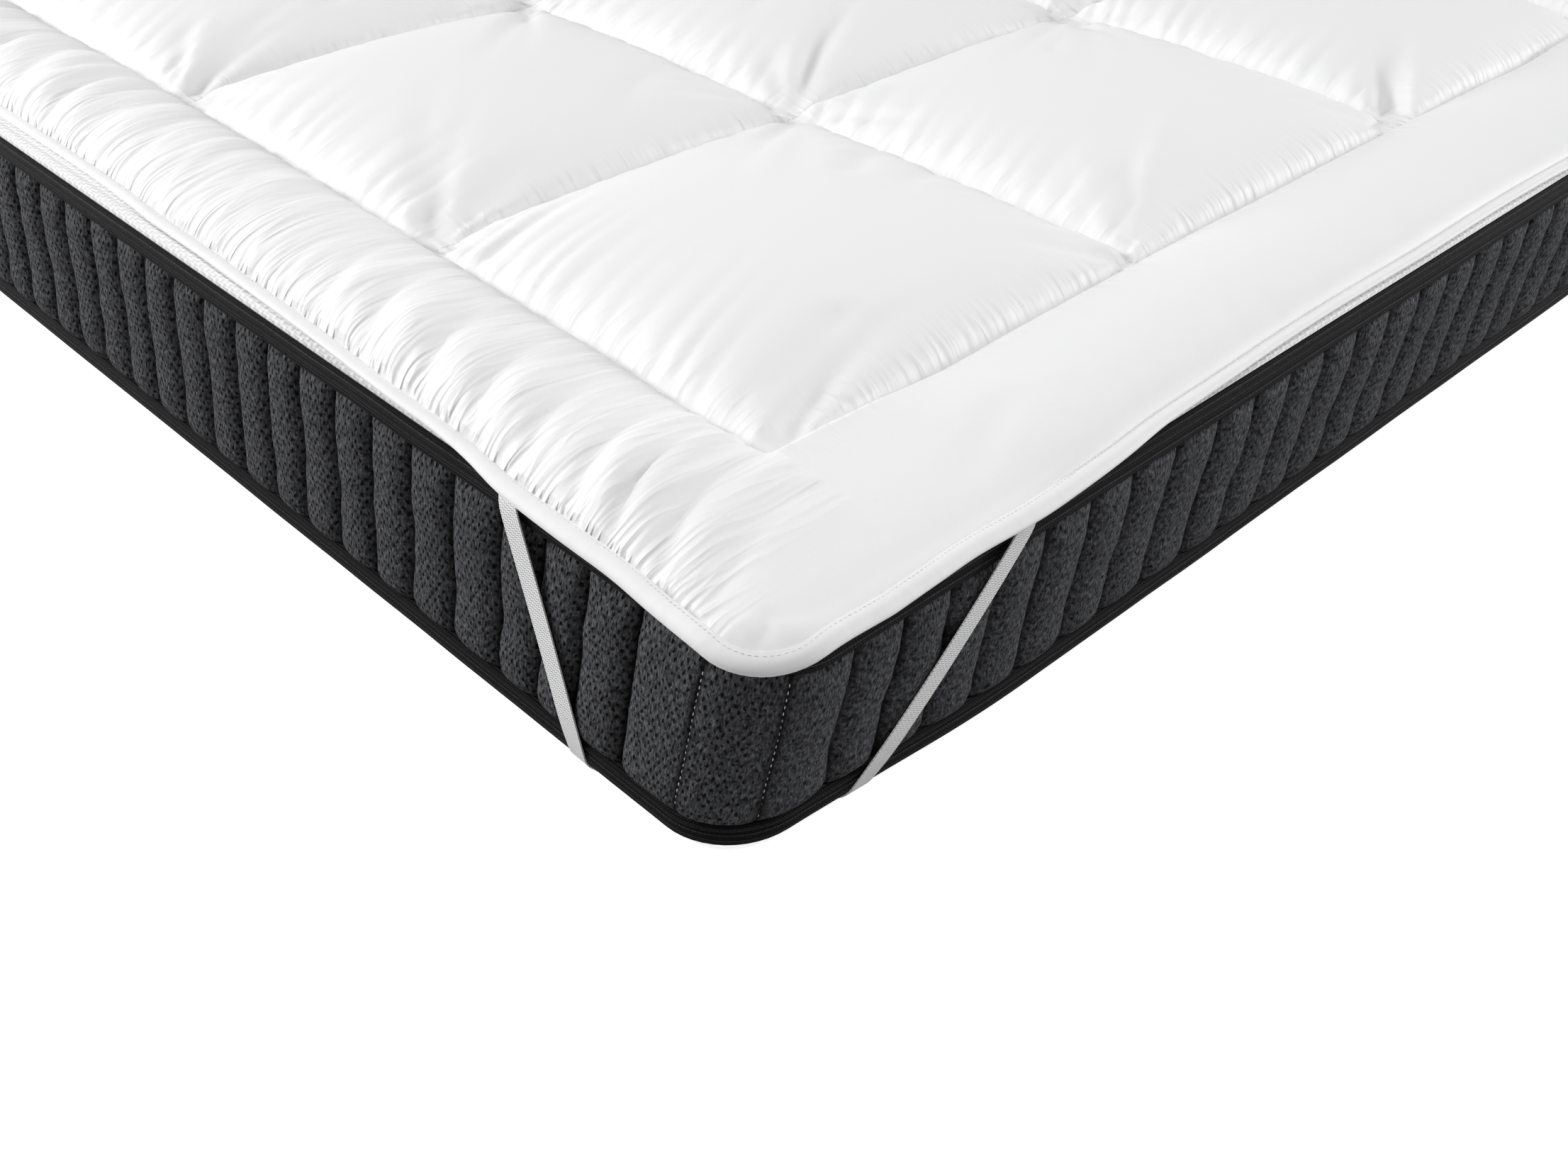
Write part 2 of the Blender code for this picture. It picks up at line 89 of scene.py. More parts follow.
BOW_SHORT = ((0.070, -0.0017), (0.120, 0.0002), (0.170, 0.0021), (0.200, 0.0036),
             (0.220, 0.0024), (0.270, 0.0011), (0.290, 0.0018), (0.320, 0.0030),
             (0.370, 0.0055), (0.400, 0.0087), (0.420, 0.0104), (0.470, 0.0124),
             (0.520, 0.0140), (0.570, 0.0164), (0.620, 0.0176), (0.670, 0.0184),
             (0.720, 0.0180), (0.820, 0.0165))
BOW_EASE = 0.022  # length over which the edge's changes of direction are evened out
BOW_HOLD = 4
LIE = 0.2003
TAPE_CLEARANCE = 0.0014
RISE_FROM = -0.014
RISE_RUN = 0.011
TURN_START = -0.002
TURN_RADIUS = 0.022
TURN_LIMIT = 1.45
HALF_X = TOPPER_WIDTH / 2 - BINDING_WIDTH
HALF_Y = TOPPER_LENGTH / 2 - BINDING_WIDTH
PAD_RADIUS = TOPPER_RADIUS - BINDING_WIDTH

# Steps of the quilt's mesh: across a border strip, and along and across a cell
STRIP_COLUMNS = 20
STRIP_ROWS = 22
CELL_COLUMNS = 44
CELL_ROWS = 54
SEAM_CROWDING = 0.06  # how much closer the steps lie beside a seam

# Strap: heights down the side, with how far it stands off the mattress
STRAP_WIDTH = 0.0195
STRAP_THICKNESS = 0.0012
STRAP_LONG_TOP = 0.2520
STRAP_LONG_FOOT = 0.1600
STRAP_SHORT_TOP = 0.2370
STRAP_SHORT_FOOT = 0.1210
STRAP_UNDER = 0.0009

SEED = 12


class QuiltSizes(bpy.types.PropertyGroup):
    """The pad's filling and how its cloth is gathered."""

    cell_crown: bpy.props.FloatProperty(
        name="Cell crown", description="Height of a filled cell over its seams",
        default=0.040, unit="LENGTH")
    strip_crown: bpy.props.FloatProperty(
        name="Strip crown", description="Height of a border strip over its seams",
        default=0.024, unit="LENGTH")
    cell_fullness: bpy.props.FloatProperty(
        name="Cell fullness", description="Spare cloth in a cell, as a share of its size",
        default=0.022, subtype="FACTOR", min=0.0, max=0.2)
    gathers: bpy.props.FloatProperty(
        name="Gathers", description="Spare cloth along the long border strips",
        default=0.020, subtype="FACTOR", min=0.0, max=0.3)
    colour: bpy.props.FloatVectorProperty(
        name="Cloth", description="Colour of the pad's cotton", subtype="COLOR",
        default=(0.900, 0.900, 0.905), size=3, min=0.0, max=1.0)


class MattressSizes(bpy.types.PropertyGroup):
    """The mattress's side band, panels and tapes."""

    rib_depth: bpy.props.FloatProperty(
        name="Rib depth", description="How deep the seams between the ribs are drawn in",
        default=0.0155, unit="LENGTH")
    corner_seam_depth: bpy.props.FloatProperty(
        name="Corner seam depth", description="The same for the two seams beside a corner",
        default=0.0030, unit="LENGTH")
    knit: bpy.props.FloatVectorProperty(
        name="Side knit", description="Colour of the side band's knit", subtype="COLOR",
        default=(0.068, 0.069, 0.073), size=3, min=0.0, max=1.0)
    panel: bpy.props.FloatVectorProperty(
        name="Panel knit", description="Colour of the top panel's knit", subtype="COLOR",
        default=(0.88, 0.88, 0.88), size=3, min=0.0, max=1.0)
    tape: bpy.props.FloatVectorProperty(
        name="Edge tape", description="Colour of the woven edge tapes", subtype="COLOR",
        default=(0.0075, 0.0075, 0.0080), size=3, min=0.0, max=1.0)


class StageSizes(bpy.types.PropertyGroup):
    """The camera, floor and lights."""

    camera_place: bpy.props.FloatVectorProperty(
        name="Camera", description="Where the camera stands", subtype="TRANSLATION",
        default=(-1.337775, -1.5400, 0.8591), size=3, unit="LENGTH")
    lens: bpy.props.FloatProperty(
        name="Lens", description="Focal length in millimetres on a 36 mm frame", default=38.28)
    fill_light: bpy.props.FloatProperty(
        name="Fill light", description="Strength of the even light all round", default=0.23)
    key_light: bpy.props.FloatProperty(
        name="Key light", description="Power of the softbox at the far left, in watts",
        default=195.0)


def smooth_step(value):
    value = np.clip(value, 0.0, 1.0)
    return value * value * (3 - 2 * value)


def points_of(x, y, z):
    x, y, z = np.broadcast_arrays(x, y, z)
    return np.stack((x, y, z), axis=-1).astype(float)


def settle(points):
    """Moves points of the upright mattress to where they are on the leaning one."""
    x, y, z = points[..., 0], points[..., 1], points[..., 2]
    share = np.clip(z / HEIGHT, 0.0, 1.0)
    from_long_side = (WIDTH / 2 - np.abs(x)) / TUCK_REACH
    from_short_side = (LENGTH / 2 - np.abs(y)) / TUCK_REACH
    tuck = TUCK * (1 - smooth_step(from_long_side)) * (1 - smooth_step(from_short_side))
    drawn_in = np.copysign(tuck * (1 - share), y)
    return points_of(x + LEAN[0] * (share - LEAN_PIVOT),
                     y + LEAN[1] * (share - LEAN_PIVOT) - drawn_in, z)


def outline_length(half_x, half_y, radius):
    return 4 * (half_x + half_y) - 8 * radius + 2 * math.pi * radius


def outline(distance, half_x, half_y, radius):
    """Points and outward normals on a rectangle with round corners, measured from the front
    left corner's middle, anticlockwise from above."""
    inner = (half_x - radius, half_y - radius)
    quarter = radius * math.pi / 2
    position = (distance + quarter / 2) % outline_length(half_x, half_y, radius)
    point = np.zeros((*np.shape(distance), 2))
    normal = np.zeros_like(point)
    start = 0.0
    for index, (side_x, side_y) in enumerate(((-1, -1), (1, -1), (1, 1), (-1, 1))):
        straight = 2 * inner[index % 2]
        at = position - start
        here = (at >= 0) & (at <= quarter + straight)
        angle = math.pi * (1 + index / 2) + np.clip(at, 0, quarter) / radius
        away = np.stack((np.cos(angle), np.sin(angle)), axis=-1)
        along = np.stack((-away[..., 1], away[..., 0]), axis=-1)
        past = np.clip(at - quarter, 0, straight)[..., None]
        place = np.array((side_x * inner[0], side_y * inner[1])) + away * radius + along * past
        point[here] = place[here]
        normal[here] = away[here]
        start += quarter + straight
    return point, normal


MATTRESS = (WIDTH / 2, LENGTH / 2, CORNER_RADIUS)
PAD = (HALF_X, HALF_Y, PAD_RADIUS)
ROUND_MATTRESS = outline_length(*MATTRESS)
ROUND_PAD = outline_length(*PAD)


def on_side(distance, out, height):
    """Points round the mattress, from distances round it, outwards from its side and up."""
    distance, out, height = np.broadcast_arrays(distance, out, height)
    point, normal = outline(distance, *MATTRESS)
    place = point + normal * out[..., None]
    return settle(points_of(place[..., 0], place[..., 1], height))


def past_mattress(x, y):
    """Distance outwards from the mattress's outline, and the direction outwards."""
    from_x = np.abs(x) - (WIDTH / 2 - CORNER_RADIUS)
    from_y = np.abs(y) - (LENGTH / 2 - CORNER_RADIUS)
    reach = np.maximum(np.hypot(from_x, from_y), 1e-9)
    corner = (from_x > 0) & (from_y > 0)
    wide = from_x > from_y
    distance = np.where(corner, reach, np.maximum(from_x, from_y)) - CORNER_RADIUS
    normal_x = np.where(corner, from_x / reach, np.where(wide, 1.0, 0.0))
    normal_y = np.where(corner, from_y / reach, np.where(wide, 0.0, 1.0))
    return distance, np.copysign(normal_x, x), np.copysign(normal_y, y)


def eased(table, distance):
    """A table's value at a distance, with its corners rounded off."""
    steps = np.linspace(-BOW_EASE, BOW_EASE, 7)
    weights = 1 - (steps / (BOW_EASE * 1.2)) ** 2
    places, values = np.array(table).T
    total = sum(np.interp(distance + step, places, values) * weight
                for step, weight in zip(steps, weights))
    return total / weights.sum()


def bow(x, y):
    """Draws the topper's edges in between its corners."""
    half_x, half_y = TOPPER_WIDTH / 2, TOPPER_LENGTH / 2
    in_x = eased(BOW_LONG, half_y - np.abs(y)) * (np.abs(x) / half_x) ** BOW_HOLD
    in_y = eased(BOW_SHORT, half_x - np.abs(x)) * (np.abs(y) / half_y) ** BOW_HOLD
    return x - np.copysign(in_x, x), y - np.copysign(in_y, y)


def drape(x, y, above):
    """Lays points of the flat topper on the mattress and turns them down past its edge. Above
    is the distance over the topper's underside."""
    x, y, above = np.broadcast_arrays(x, y, above)
    x, y = bow(x, y)
    distance, normal_x, normal_y = past_mattress(x, y)
    base = LIE + TAPE_CLEARANCE * smooth_step((distance - RISE_FROM) / RISE_RUN)
    past = np.maximum(distance - TURN_START, 0.0)
    angle = np.minimum(past / TURN_RADIUS, TURN_LIMIT)
    straight = np.maximum(past - TURN_RADIUS * TURN_LIMIT, 0.0)
    out = TURN_RADIUS * np.sin(angle) + straight * np.cos(angle) + above * np.sin(angle)
    down = TURN_RADIUS * (1 - np.cos(angle)) + straight * np.sin(angle)
    return settle(points_of(x + normal_x * (out - past), y + normal_y * (out - past),
                            base - down + above * np.cos(angle)))


def wander(values, pitch, random, smooth=3):
    """A slow random wave along values, from -1 to 1, that turns about once in every pitch."""
    low, high = float(np.min(values)), float(np.max(values))
    count = max(int((high - low) / pitch) + 3, 4)
    knots = random.uniform(-1, 1, count)
    for _ in range(smooth):
        knots = (np.roll(knots, 1) + 2 * knots + np.roll(knots, -1)) / 4
    knots /= max(np.abs(knots).max(), 1e-9)
    where = (values - low) / max(high - low, 1e-9) * (count - 1)
    first = np.clip(where.astype(int), 0, count - 2)
    share = smooth_step(where - first)
    return knots[first] * (1 - share) + knots[first + 1] * share


def ripples(values, spacing, uneven, random):
    """Heights from 0 to 1 of a row of uneven round ridges with narrow troughs between them."""
    low, high = float(np.min(values)), float(np.max(values))
    count = int((high - low) / (spacing * (1 - uneven))) + 4
    crests = np.cumsum(spacing * (1 + uneven * random.uniform(-1, 1, count)))
    crests += low - crests[1]
    heights = random.uniform(0.35, 1.0, count)
    turn = np.interp(values, crests, np.arange(count))
    return np.interp(values, crests, heights) * np.abs(np.cos(math.pi * turn)) ** 0.75


# Making and finishing pieces

def deselect_all():
    bpy.ops.object.select_all(action="DESELECT")


def edit_mode(piece):
    deselect_all()
    piece.select_set(True)
    bpy.context.view_layer.objects.active = piece
    bpy.ops.object.mode_set(mode="EDIT")
    bpy.ops.mesh.select_all(action="SELECT")


def lay_grid(name, across, along, points):
    """A sheet of quads with a column at each value of across and a row at each of along. Both
    are in metres and are kept as its UV map. points has a row of places for each of along."""
    deselect_all()
    last_column, last_row = len(across) - 1, len(along) - 1
    bpy.ops.mesh.primitive_grid_add(x_subdivisions=last_column, y_subdivisions=last_row, size=1)
    piece = bpy.context.object
    piece.name = piece.data.name = name
    mesh = piece.data
    flat = np.empty(len(mesh.vertices) * 3, np.float32)
    mesh.vertices.foreach_get("co", flat)
    flat = flat.reshape(-1, 3)
    column = np.rint((flat[:, 0] + 0.5) * last_column).astype(int)
    row = np.rint((flat[:, 1] + 0.5) * last_row).astype(int)
    mesh.vertices.foreach_set("co", points[row, column].astype(np.float32).ravel())
    layer = mesh.uv_layers.active
    uv = np.empty(len(mesh.loops) * 2, np.float32)
    layer.uv.foreach_get("vector", uv)
    uv = uv.reshape(-1, 2)
    uv[:, 0] = np.asarray(across)[np.rint(uv[:, 0] * last_column).astype(int)]
    uv[:, 1] = np.asarray(along)[np.rint(uv[:, 1] * last_row).astype(int)]
    layer.uv.foreach_set("vector", uv.ravel())
    mesh.update()
    return piece, column, row


def weld(piece, distance=1e-5):
    """Merges the points where a piece meets itself and turns its faces outwards."""
    edit_mode(piece)
    bpy.ops.mesh.remove_doubles(threshold=distance)
    bpy.ops.mesh.normals_make_consistent(inside=False)
    bpy.ops.object.mode_set(mode="OBJECT")


def fill_holes(piece):
    """Closes the open edges of a piece with flat faces."""
    edit_mode(piece)
    bpy.ops.mesh.select_all(action="DESELECT")
    bpy.ops.mesh.select_non_manifold(extend=False, use_wire=False, use_boundary=True,
                                     use_multi_face=False, use_non_contiguous=False,
                                     use_verts=False)
    bpy.ops.mesh.edge_face_add()
    bpy.ops.mesh.select_all(action="SELECT")
    bpy.ops.mesh.normals_make_consistent(inside=False)
    bpy.ops.object.mode_set(mode="OBJECT")


def thicken(piece, thickness, offset):
    """Gives a sheet its thickness with an applied Solidify modifier."""
    deselect_all()
    piece.select_set(True)
    bpy.context.view_layer.objects.active = piece
    solid = piece.modifiers.new("thickness", "SOLIDIFY")
    solid.thickness = thickness
    solid.offset = offset
    solid.use_even_offset = True
    bpy.ops.object.modifier_apply(modifier=solid.name)


def finish_piece(piece, material, nodes=(), angle=50):
    """Smooths a piece, gives it its material and puts it in the frame."""
    deselect_all()
    piece.select_set(True)
    bpy.context.view_layer.objects.active = piece
    bpy.ops.object.shade_smooth_by_angle(angle=math.radians(angle))
    piece.data.materials.clear()
    piece.data.materials.append(material)
    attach(piece, "root")
    if nodes:
        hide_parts(*nodes)


def sew(name, rows, stitch_length, thickness, material):
    """Joins many stitches into one piece. Each of rows is (place, distances), where
    place(distance, lift) gives points on a seam, lifted off the cloth."""
    deselect_all()
    bpy.ops.mesh.primitive_uv_sphere_add(segments=6, ring_count=4, radius=0.5)
    stitch = bpy.context.object
    base = np.array([vert.co for vert in stitch.data.vertices])
    base = base[:, (2, 0, 1)] * (stitch_length, thickness, thickness)
    faces = [tuple(face.vertices) for face in stitch.data.polygons]
    bpy.data.objects.remove(stitch)
    step = stitch_length / 2
    centres, tangents, ups = [], [], []
    for place, distances in rows:
        centre = place(distances, thickness * 0.2)
        tangent = place(distances + step, thickness * 0.2) - place(distances - step,
                                                                   thickness * 0.2)
        up = place(distances, 0.001) - place(distances, 0.0)
        centres.append(centre)
        tangents.append(tangent / np.linalg.norm(tangent, axis=-1, keepdims=True))
        ups.append(up / np.linalg.norm(up, axis=-1, keepdims=True))
    centre, tangent, up = (np.concatenate(part) for part in (centres, tangents, ups))
    side = np.cross(up, tangent)
    side /= np.linalg.norm(side, axis=-1, keepdims=True)
    up = np.cross(tangent, side)
    verts = (centre[:, None] + base[None, :, 0:1] * tangent[:, None]
             + base[None, :, 1:2] * side[:, None] + base[None, :, 2:3] * up[:, None])
    mesh = bpy.data.meshes.new(name)
    all_faces = [tuple(corner + number * len(base) for corner in face)
                 for number in range(len(centre)) for face in faces]
    mesh.from_pydata(verts.reshape(-1, 3).tolist(), [], all_faces)
    mesh.update()
    piece = bpy.data.objects.new(name, mesh)
    bpy.context.collection.objects.link(piece)
    finish_piece(piece, material, angle=80)
    return piece


# Materials

def put(tree, kind, links=None, **settings):
    """Adds a node with its settings. links holds a value or a socket for each named input."""
    node = tree.nodes.new(kind)
    for key, value in settings.items():
        setattr(node, key, value)
    for key, value in (links or {}).items():
        if isinstance(value, bpy.types.NodeSocket):
            tree.links.new(value, node.inputs[key])
        else:
            node.inputs[key].default_value = value
    return node


def maths(tree, operation, *values):
    node = put(tree, "ShaderNodeMath", dict(enumerate(values)), operation=operation)
    return node.outputs[0]


def new_group(name, inputs, outputs):
    """A shader node group with its named inputs and outputs."""
    group = bpy.data.node_groups.new(name, "ShaderNodeTree")
    for label, kind, value in inputs:
        socket = group.interface.new_socket(label, in_out="INPUT", socket_type=kind)
        if value is not None:
            socket.default_value = value
    for label in outputs:
        group.interface.new_socket(label, in_out="OUTPUT", socket_type="NodeSocketFloat")
    return group, put(group, "NodeGroupInput"), put(group, "NodeGroupOutput")


def weave_group():
    """Threads across and along a cloth, alternately over and under each other."""
    group, given, result = new_group(
        "Woven threads",
        (("Vector", "NodeSocketVector", None), ("Across", "NodeSocketFloat", 0.001),
         ("Along", "NodeSocketFloat", 0.001)),
        ("Height",))
    place = put(group, "ShaderNodeSeparateXYZ", {0: given.outputs["Vector"]})
    u = maths(group, "DIVIDE", place.outputs["X"], given.outputs["Across"])
    v = maths(group, "DIVIDE", place.outputs["Y"], given.outputs["Along"])
    thread_u = maths(group, "ABSOLUTE", maths(group, "SINE", maths(group, "MULTIPLY", u, math.pi)))
    thread_v = maths(group, "ABSOLUTE", maths(group, "SINE", maths(group, "MULTIPLY", v, math.pi)))
    turn = maths(group, "MODULO", maths(group, "ADD", maths(group, "FLOOR", u),
                                        maths(group, "FLOOR", v)), 2.0)
    turn = maths(group, "ABSOLUTE", turn)
    over = put(group, "ShaderNodeMix", {0: turn, 2: thread_u, 3: thread_v}, data_type="FLOAT")
    group.links.new(over.outputs[0], result.inputs["Height"])
    return group


def flecks_group():
    """Fine light fibres lying two ways, as in a heather yarn, and slow changes of shade."""
    group, given, result = new_group(
        "Heather flecks",
        (("Vector", "NodeSocketVector", None), ("Scale", "NodeSocketFloat", 900.0)),
        ("Flecks", "Clouds"))
    fibres = []
    for turn in (0.6, 2.1):
        stretched = put(group, "ShaderNodeMapping", {"Vector": given.outputs["Vector"],
                                                    "Rotation": (0.0, 0.0, turn),
                                                    "Scale": (1.0, 0.28, 1.0)})
        noise = put(group, "ShaderNodeTexNoise", {"Vector": stretched.outputs[0],
                                                  "Scale": given.outputs["Scale"],
                                                  "Detail": 2.0, "Roughness": 0.6})
        sharp = put(group, "ShaderNodeMapRange", {0: noise.outputs["Fac"], 1: 0.50, 2: 0.80})
        fibres.append(sharp.outputs[0])
    slow = maths(group, "MULTIPLY", given.outputs["Scale"], 0.30)
    clouds = put(group, "ShaderNodeTexNoise", {"Vector": given.outputs["Vector"],
                                               "Scale": slow, "Detail": 3.0})
    clouds = put(group, "ShaderNodeMapRange", {0: clouds.outputs["Fac"], 1: 0.30, 2: 0.70})
    group.links.new(maths(group, "MAXIMUM", *fibres), result.inputs["Flecks"])
    group.links.new(clouds.outputs[0], result.inputs["Clouds"])
    return group


def creases_group():
    """Soft long creases that run one way over a cloth."""
    group, given, result = new_group(
        "Soft creases",
        (("Vector", "NodeSocketVector", None), ("Turn", "NodeSocketVector", (0.0, 0.0, 0.0)),
         ("Stretch", "NodeSocketVector", (1.0, 0.2, 1.0)), ("Scale", "NodeSocketFloat", 20.0)),
        ("Height",))
    place = put(group, "ShaderNodeMapping", {"Vector": given.outputs["Vector"],
                                            "Rotation": given.outputs["Turn"],
                                            "Scale": given.outputs["Stretch"]})
    noise = put(group, "ShaderNodeTexNoise", {"Vector": place.outputs[0],
                                              "Scale": given.outputs["Scale"],
                                              "Detail": 1.5, "Distortion": 0.3})
    ridge = maths(group, "ABSOLUTE", maths(group, "SUBTRACT", noise.outputs["Fac"], 0.5))
    ridge = maths(group, "SUBTRACT", 1.0, maths(group, "MULTIPLY", ridge, 4.0))
    group.links.new(ridge, result.inputs["Height"])
    return group


def shared(name, build):
    """A node group that more than one material uses, built once."""
    found = bpy.data.node_groups.get(name)
    return found if found else build()


def use_group(tree, name, build, links):
    node = put(tree, "ShaderNodeGroup", node_tree=shared(name, build))
    for key, value in links.items():
        if isinstance(value, bpy.types.NodeSocket):
            tree.links.new(value, node.inputs[key])
        else:
            node.inputs[key].default_value = value
    return node


def use_weave(tree, vector, across, along):
    return use_group(tree, "Woven threads", weave_group,
                     {"Vector": vector, "Across": across, "Along": along}).outputs["Height"]


def use_creases(tree, vector, turn, stretch, scale):
    return use_group(tree, "Soft creases", creases_group,
                     {"Vector": vector, "Turn": (0.0, 0.0, turn), "Stretch": stretch,
                      "Scale": scale}).outputs["Height"]


def cloth_material(name, colour, roughness, sheen=0.0, sheen_roughness=0.5, specular=0.4):
    """A material with its shader and the cloth's UV map."""
    material = bpy.data.materials.new(name)
    material.use_nodes = True
    tree = material.node_tree
    shader = tree.nodes["Principled BSDF"]
    shader.inputs["Base Color"].default_value = (*colour, 1.0)
    shader.inputs["Roughness"].default_value = roughness
    shader.inputs["Sheen Weight"].default_value = sheen
    shader.inputs["Sheen Roughness"].default_value = sheen_roughness
    shader.inputs["Specular IOR Level"].default_value = specular
    cloth = put(tree, "ShaderNodeUVMap", uv_map="UVMap").outputs[0]
    return material, tree, shader, cloth


def bump(tree, shader, height, distance, strength=1.0):
    node = put(tree, "ShaderNodeBump", {"Height": height, "Distance": distance,
                                        "Strength": strength})
    tree.links.new(node.outputs[0], shader.inputs["Normal"])
    return node


def tint(tree, shader, share, low, high):
    """Blends the surface between two colours."""
    mix = put(tree, "ShaderNodeMix", {0: share, 6: (*low, 1.0), 7: (*high, 1.0)},
              data_type="RGBA")
    tree.links.new(mix.outputs[2], shader.inputs["Base Color"])


def scaled(colour, factor):
    return tuple(min(part * factor, 1.0) for part in colour)


def quilt_material(colour):
    """Smooth white cotton with fine puckers beside its seams and a faint weave."""
    material, tree, shader, cloth = cloth_material("quilt_cotton", colour, 0.62, 0.05, 0.4, 0.25)
    across = put(tree, "ShaderNodeAttribute", attribute_name="by_cross_seam").outputs["Fac"]
    along = put(tree, "ShaderNodeAttribute", attribute_name="by_long_seam").outputs["Fac"]
    edge = put(tree, "ShaderNodeAttribute", attribute_name="by_edge").outputs["Fac"]
    cross_puckers = use_creases(tree, cloth, 0.15, (1.0, 0.16, 1.0), 60.0)
    long_puckers = use_creases(tree, cloth, -0.45, (0.16, 1.0, 1.0), 55.0)
    edge_puckers = use_creases(tree, cloth, 0.12, (0.14, 1.0, 1.0), 72.0)
    puckers = maths(tree, "MULTIPLY", across, cross_puckers)
    puckers = maths(tree, "ADD", puckers, maths(tree, "MULTIPLY", along, long_puckers))
    puckers = maths(tree, "ADD", puckers, maths(tree, "MULTIPLY", edge, edge_puckers))
    weave = use_weave(tree, cloth, 0.0011, 0.0011)
    height = maths(tree, "MULTIPLY_ADD", weave, 0.012, puckers)
    bump(tree, shader, height, 0.0022)
    clouds = put(tree, "ShaderNodeTexNoise", {"Vector": cloth, "Scale": 3.0, "Detail": 2.0})
    tint(tree, shader, clouds.outputs["Fac"], scaled(colour, 0.985), scaled(colour, 1.01))
    return material


def binding_material(colour):
    """Folded cotton edging: smooth, a little creased across, with a fine weave."""
    material, tree, shader, cloth = cloth_material("binding_cotton", colour, 0.62, 0.05, 0.4, 0.25)
    creases = use_creases(tree, cloth, 0.25, (1.0, 0.3, 1.0), 48.0)
    weave = use_weave(tree, cloth, 0.0011, 0.0011)
    height = maths(tree, "MULTIPLY_ADD", weave, 0.04, maths(tree, "MULTIPLY", creases, 0.30))
    bump(tree, shader, height, 0.0007)
    return material


def elastic_material():
    """Flat elastic: fine ribs along its length and a close cross weave, with painted shade between
    the threads.
    """
    colour = (0.86, 0.86, 0.865)
    material, tree, shader, cloth = cloth_material("webbing_elastic", colour, 0.72, 0.1, 0.5, 0.3)
    ribs = use_weave(tree, cloth, 0.0026, 0.0017)
    bump(tree, shader, ribs, 0.0004)
    # Painted shade: darker in the grooves between the threads, lighter on their tops.
    tint(tree, shader, ribs, scaled(colour, 0.90), scaled(colour, 1.05))
    return material


def side_knit_material(colour):
    """Charcoal heather knit with rows of small pits, which show most on the long sides. Its colour
    has painted shade in the pits and beside the rib seams.
    """
    material, tree, shader, cloth = cloth_material("heather_knit", colour, 0.95, 0.0, 0.5, 0.06)
    place = put(tree, "ShaderNodeSeparateXYZ", {0: cloth})
    wobble = put(tree, "ShaderNodeTexNoise", {"Vector": cloth, "Scale": 160.0, "Detail": 2.0})
    wobble = maths(tree, "MULTIPLY_ADD", wobble.outputs["Fac"], 2.0, -1.0)
    column = maths(tree, "DIVIDE", place.outputs["X"], 0.0062)
    row = maths(tree, "MULTIPLY_ADD", wobble, 0.25, maths(tree, "DIVIDE", place.outputs["Y"],
                                                          0.0056))
    shifted = maths(tree, "MULTIPLY_ADD", maths(tree, "FLOOR", row), 0.5, column)
    shifted = maths(tree, "MULTIPLY_ADD", wobble, 0.35, shifted)
    pit_u = maths(tree, "ABSOLUTE", maths(tree, "SINE", maths(tree, "MULTIPLY", shifted, math.pi)))
    pit_v = maths(tree, "ABSOLUTE", maths(tree, "SINE", maths(tree, "MULTIPLY", row, math.pi)))
    pit = maths(tree, "MULTIPLY", maths(tree, "POWER", pit_u, 14.0),
                maths(tree, "POWER", pit_v, 2.5))
    kept = put(tree, "ShaderNodeTexNoise", {"Vector": cloth, "Scale": 120.0, "Detail": 1.0})
    kept = put(tree, "ShaderNodeMapRange", {0: kept.outputs["Fac"], 1: 0.36, 2: 0.60}).outputs[0]
    pit = maths(tree, "MULTIPLY", pit, kept)
    dimpled = put(tree, "ShaderNodeAttribute", attribute_name="dimpled").outputs["Fac"]
    pit = maths(tree, "MULTIPLY", pit, dimpled)
    yarn = use_group(tree, "Heather flecks", flecks_group, {"Vector": cloth, "Scale": 620.0})
    lumps = put(tree, "ShaderNodeTexNoise", {"Vector": cloth, "Scale": 130.0, "Detail": 2.0})
    height = maths(tree, "MULTIPLY_ADD", lumps.outputs["Fac"], 0.7,
                   maths(tree, "MULTIPLY", yarn.outputs["Flecks"], 0.20))
    height = maths(tree, "MULTIPLY_ADD", pit, -1.3, height)
    bump(tree, shader, height, 0.0012)
    light = maths(tree, "MULTIPLY", yarn.outputs["Flecks"], 0.60)
    light = maths(tree, "MULTIPLY_ADD", yarn.outputs["Clouds"], 0.26, light)
    # The pits are darkened in the colour too: painted shade in them.
    light = maths(tree, "MULTIPLY_ADD", pit, -1.0, light)
    light = put(tree, "ShaderNodeClamp", {0: light}).outputs[0]
    # Painted shade: the knit is darkened in the drawn-in hollow beside each rib seam.
    painted_seam_shade = put(tree, "ShaderNodeAttribute", attribute_name="painted_seam_shade").outputs["Fac"]
    light = maths(tree, "MULTIPLY", light, maths(tree, "SUBTRACT", 1.0, painted_seam_shade))
    tint(tree, shader, light, scaled(colour, 0.15), scaled(colour, 4.0))
    return material


def panel_knit_material(colour):
    """White knit of the top and bottom panels, with short faint dashes."""
    material, tree, shader, cloth = cloth_material("panel_knit", colour, 0.85, 0.15, 0.5, 0.3)
    dashes = use_weave(tree, cloth, 0.0060, 0.0030)
    yarn = use_group(tree, "Heather flecks", flecks_group, {"Vector": cloth, "Scale": 420.0})
    height = maths(tree, "MULTIPLY_ADD", dashes, 1.0,
                   maths(tree, "MULTIPLY", yarn.outputs["Flecks"], 0.4))
    bump(tree, shader, height, 0.0005)
    tint(tree, shader, dashes, scaled(colour, 0.95), colour)
    return material


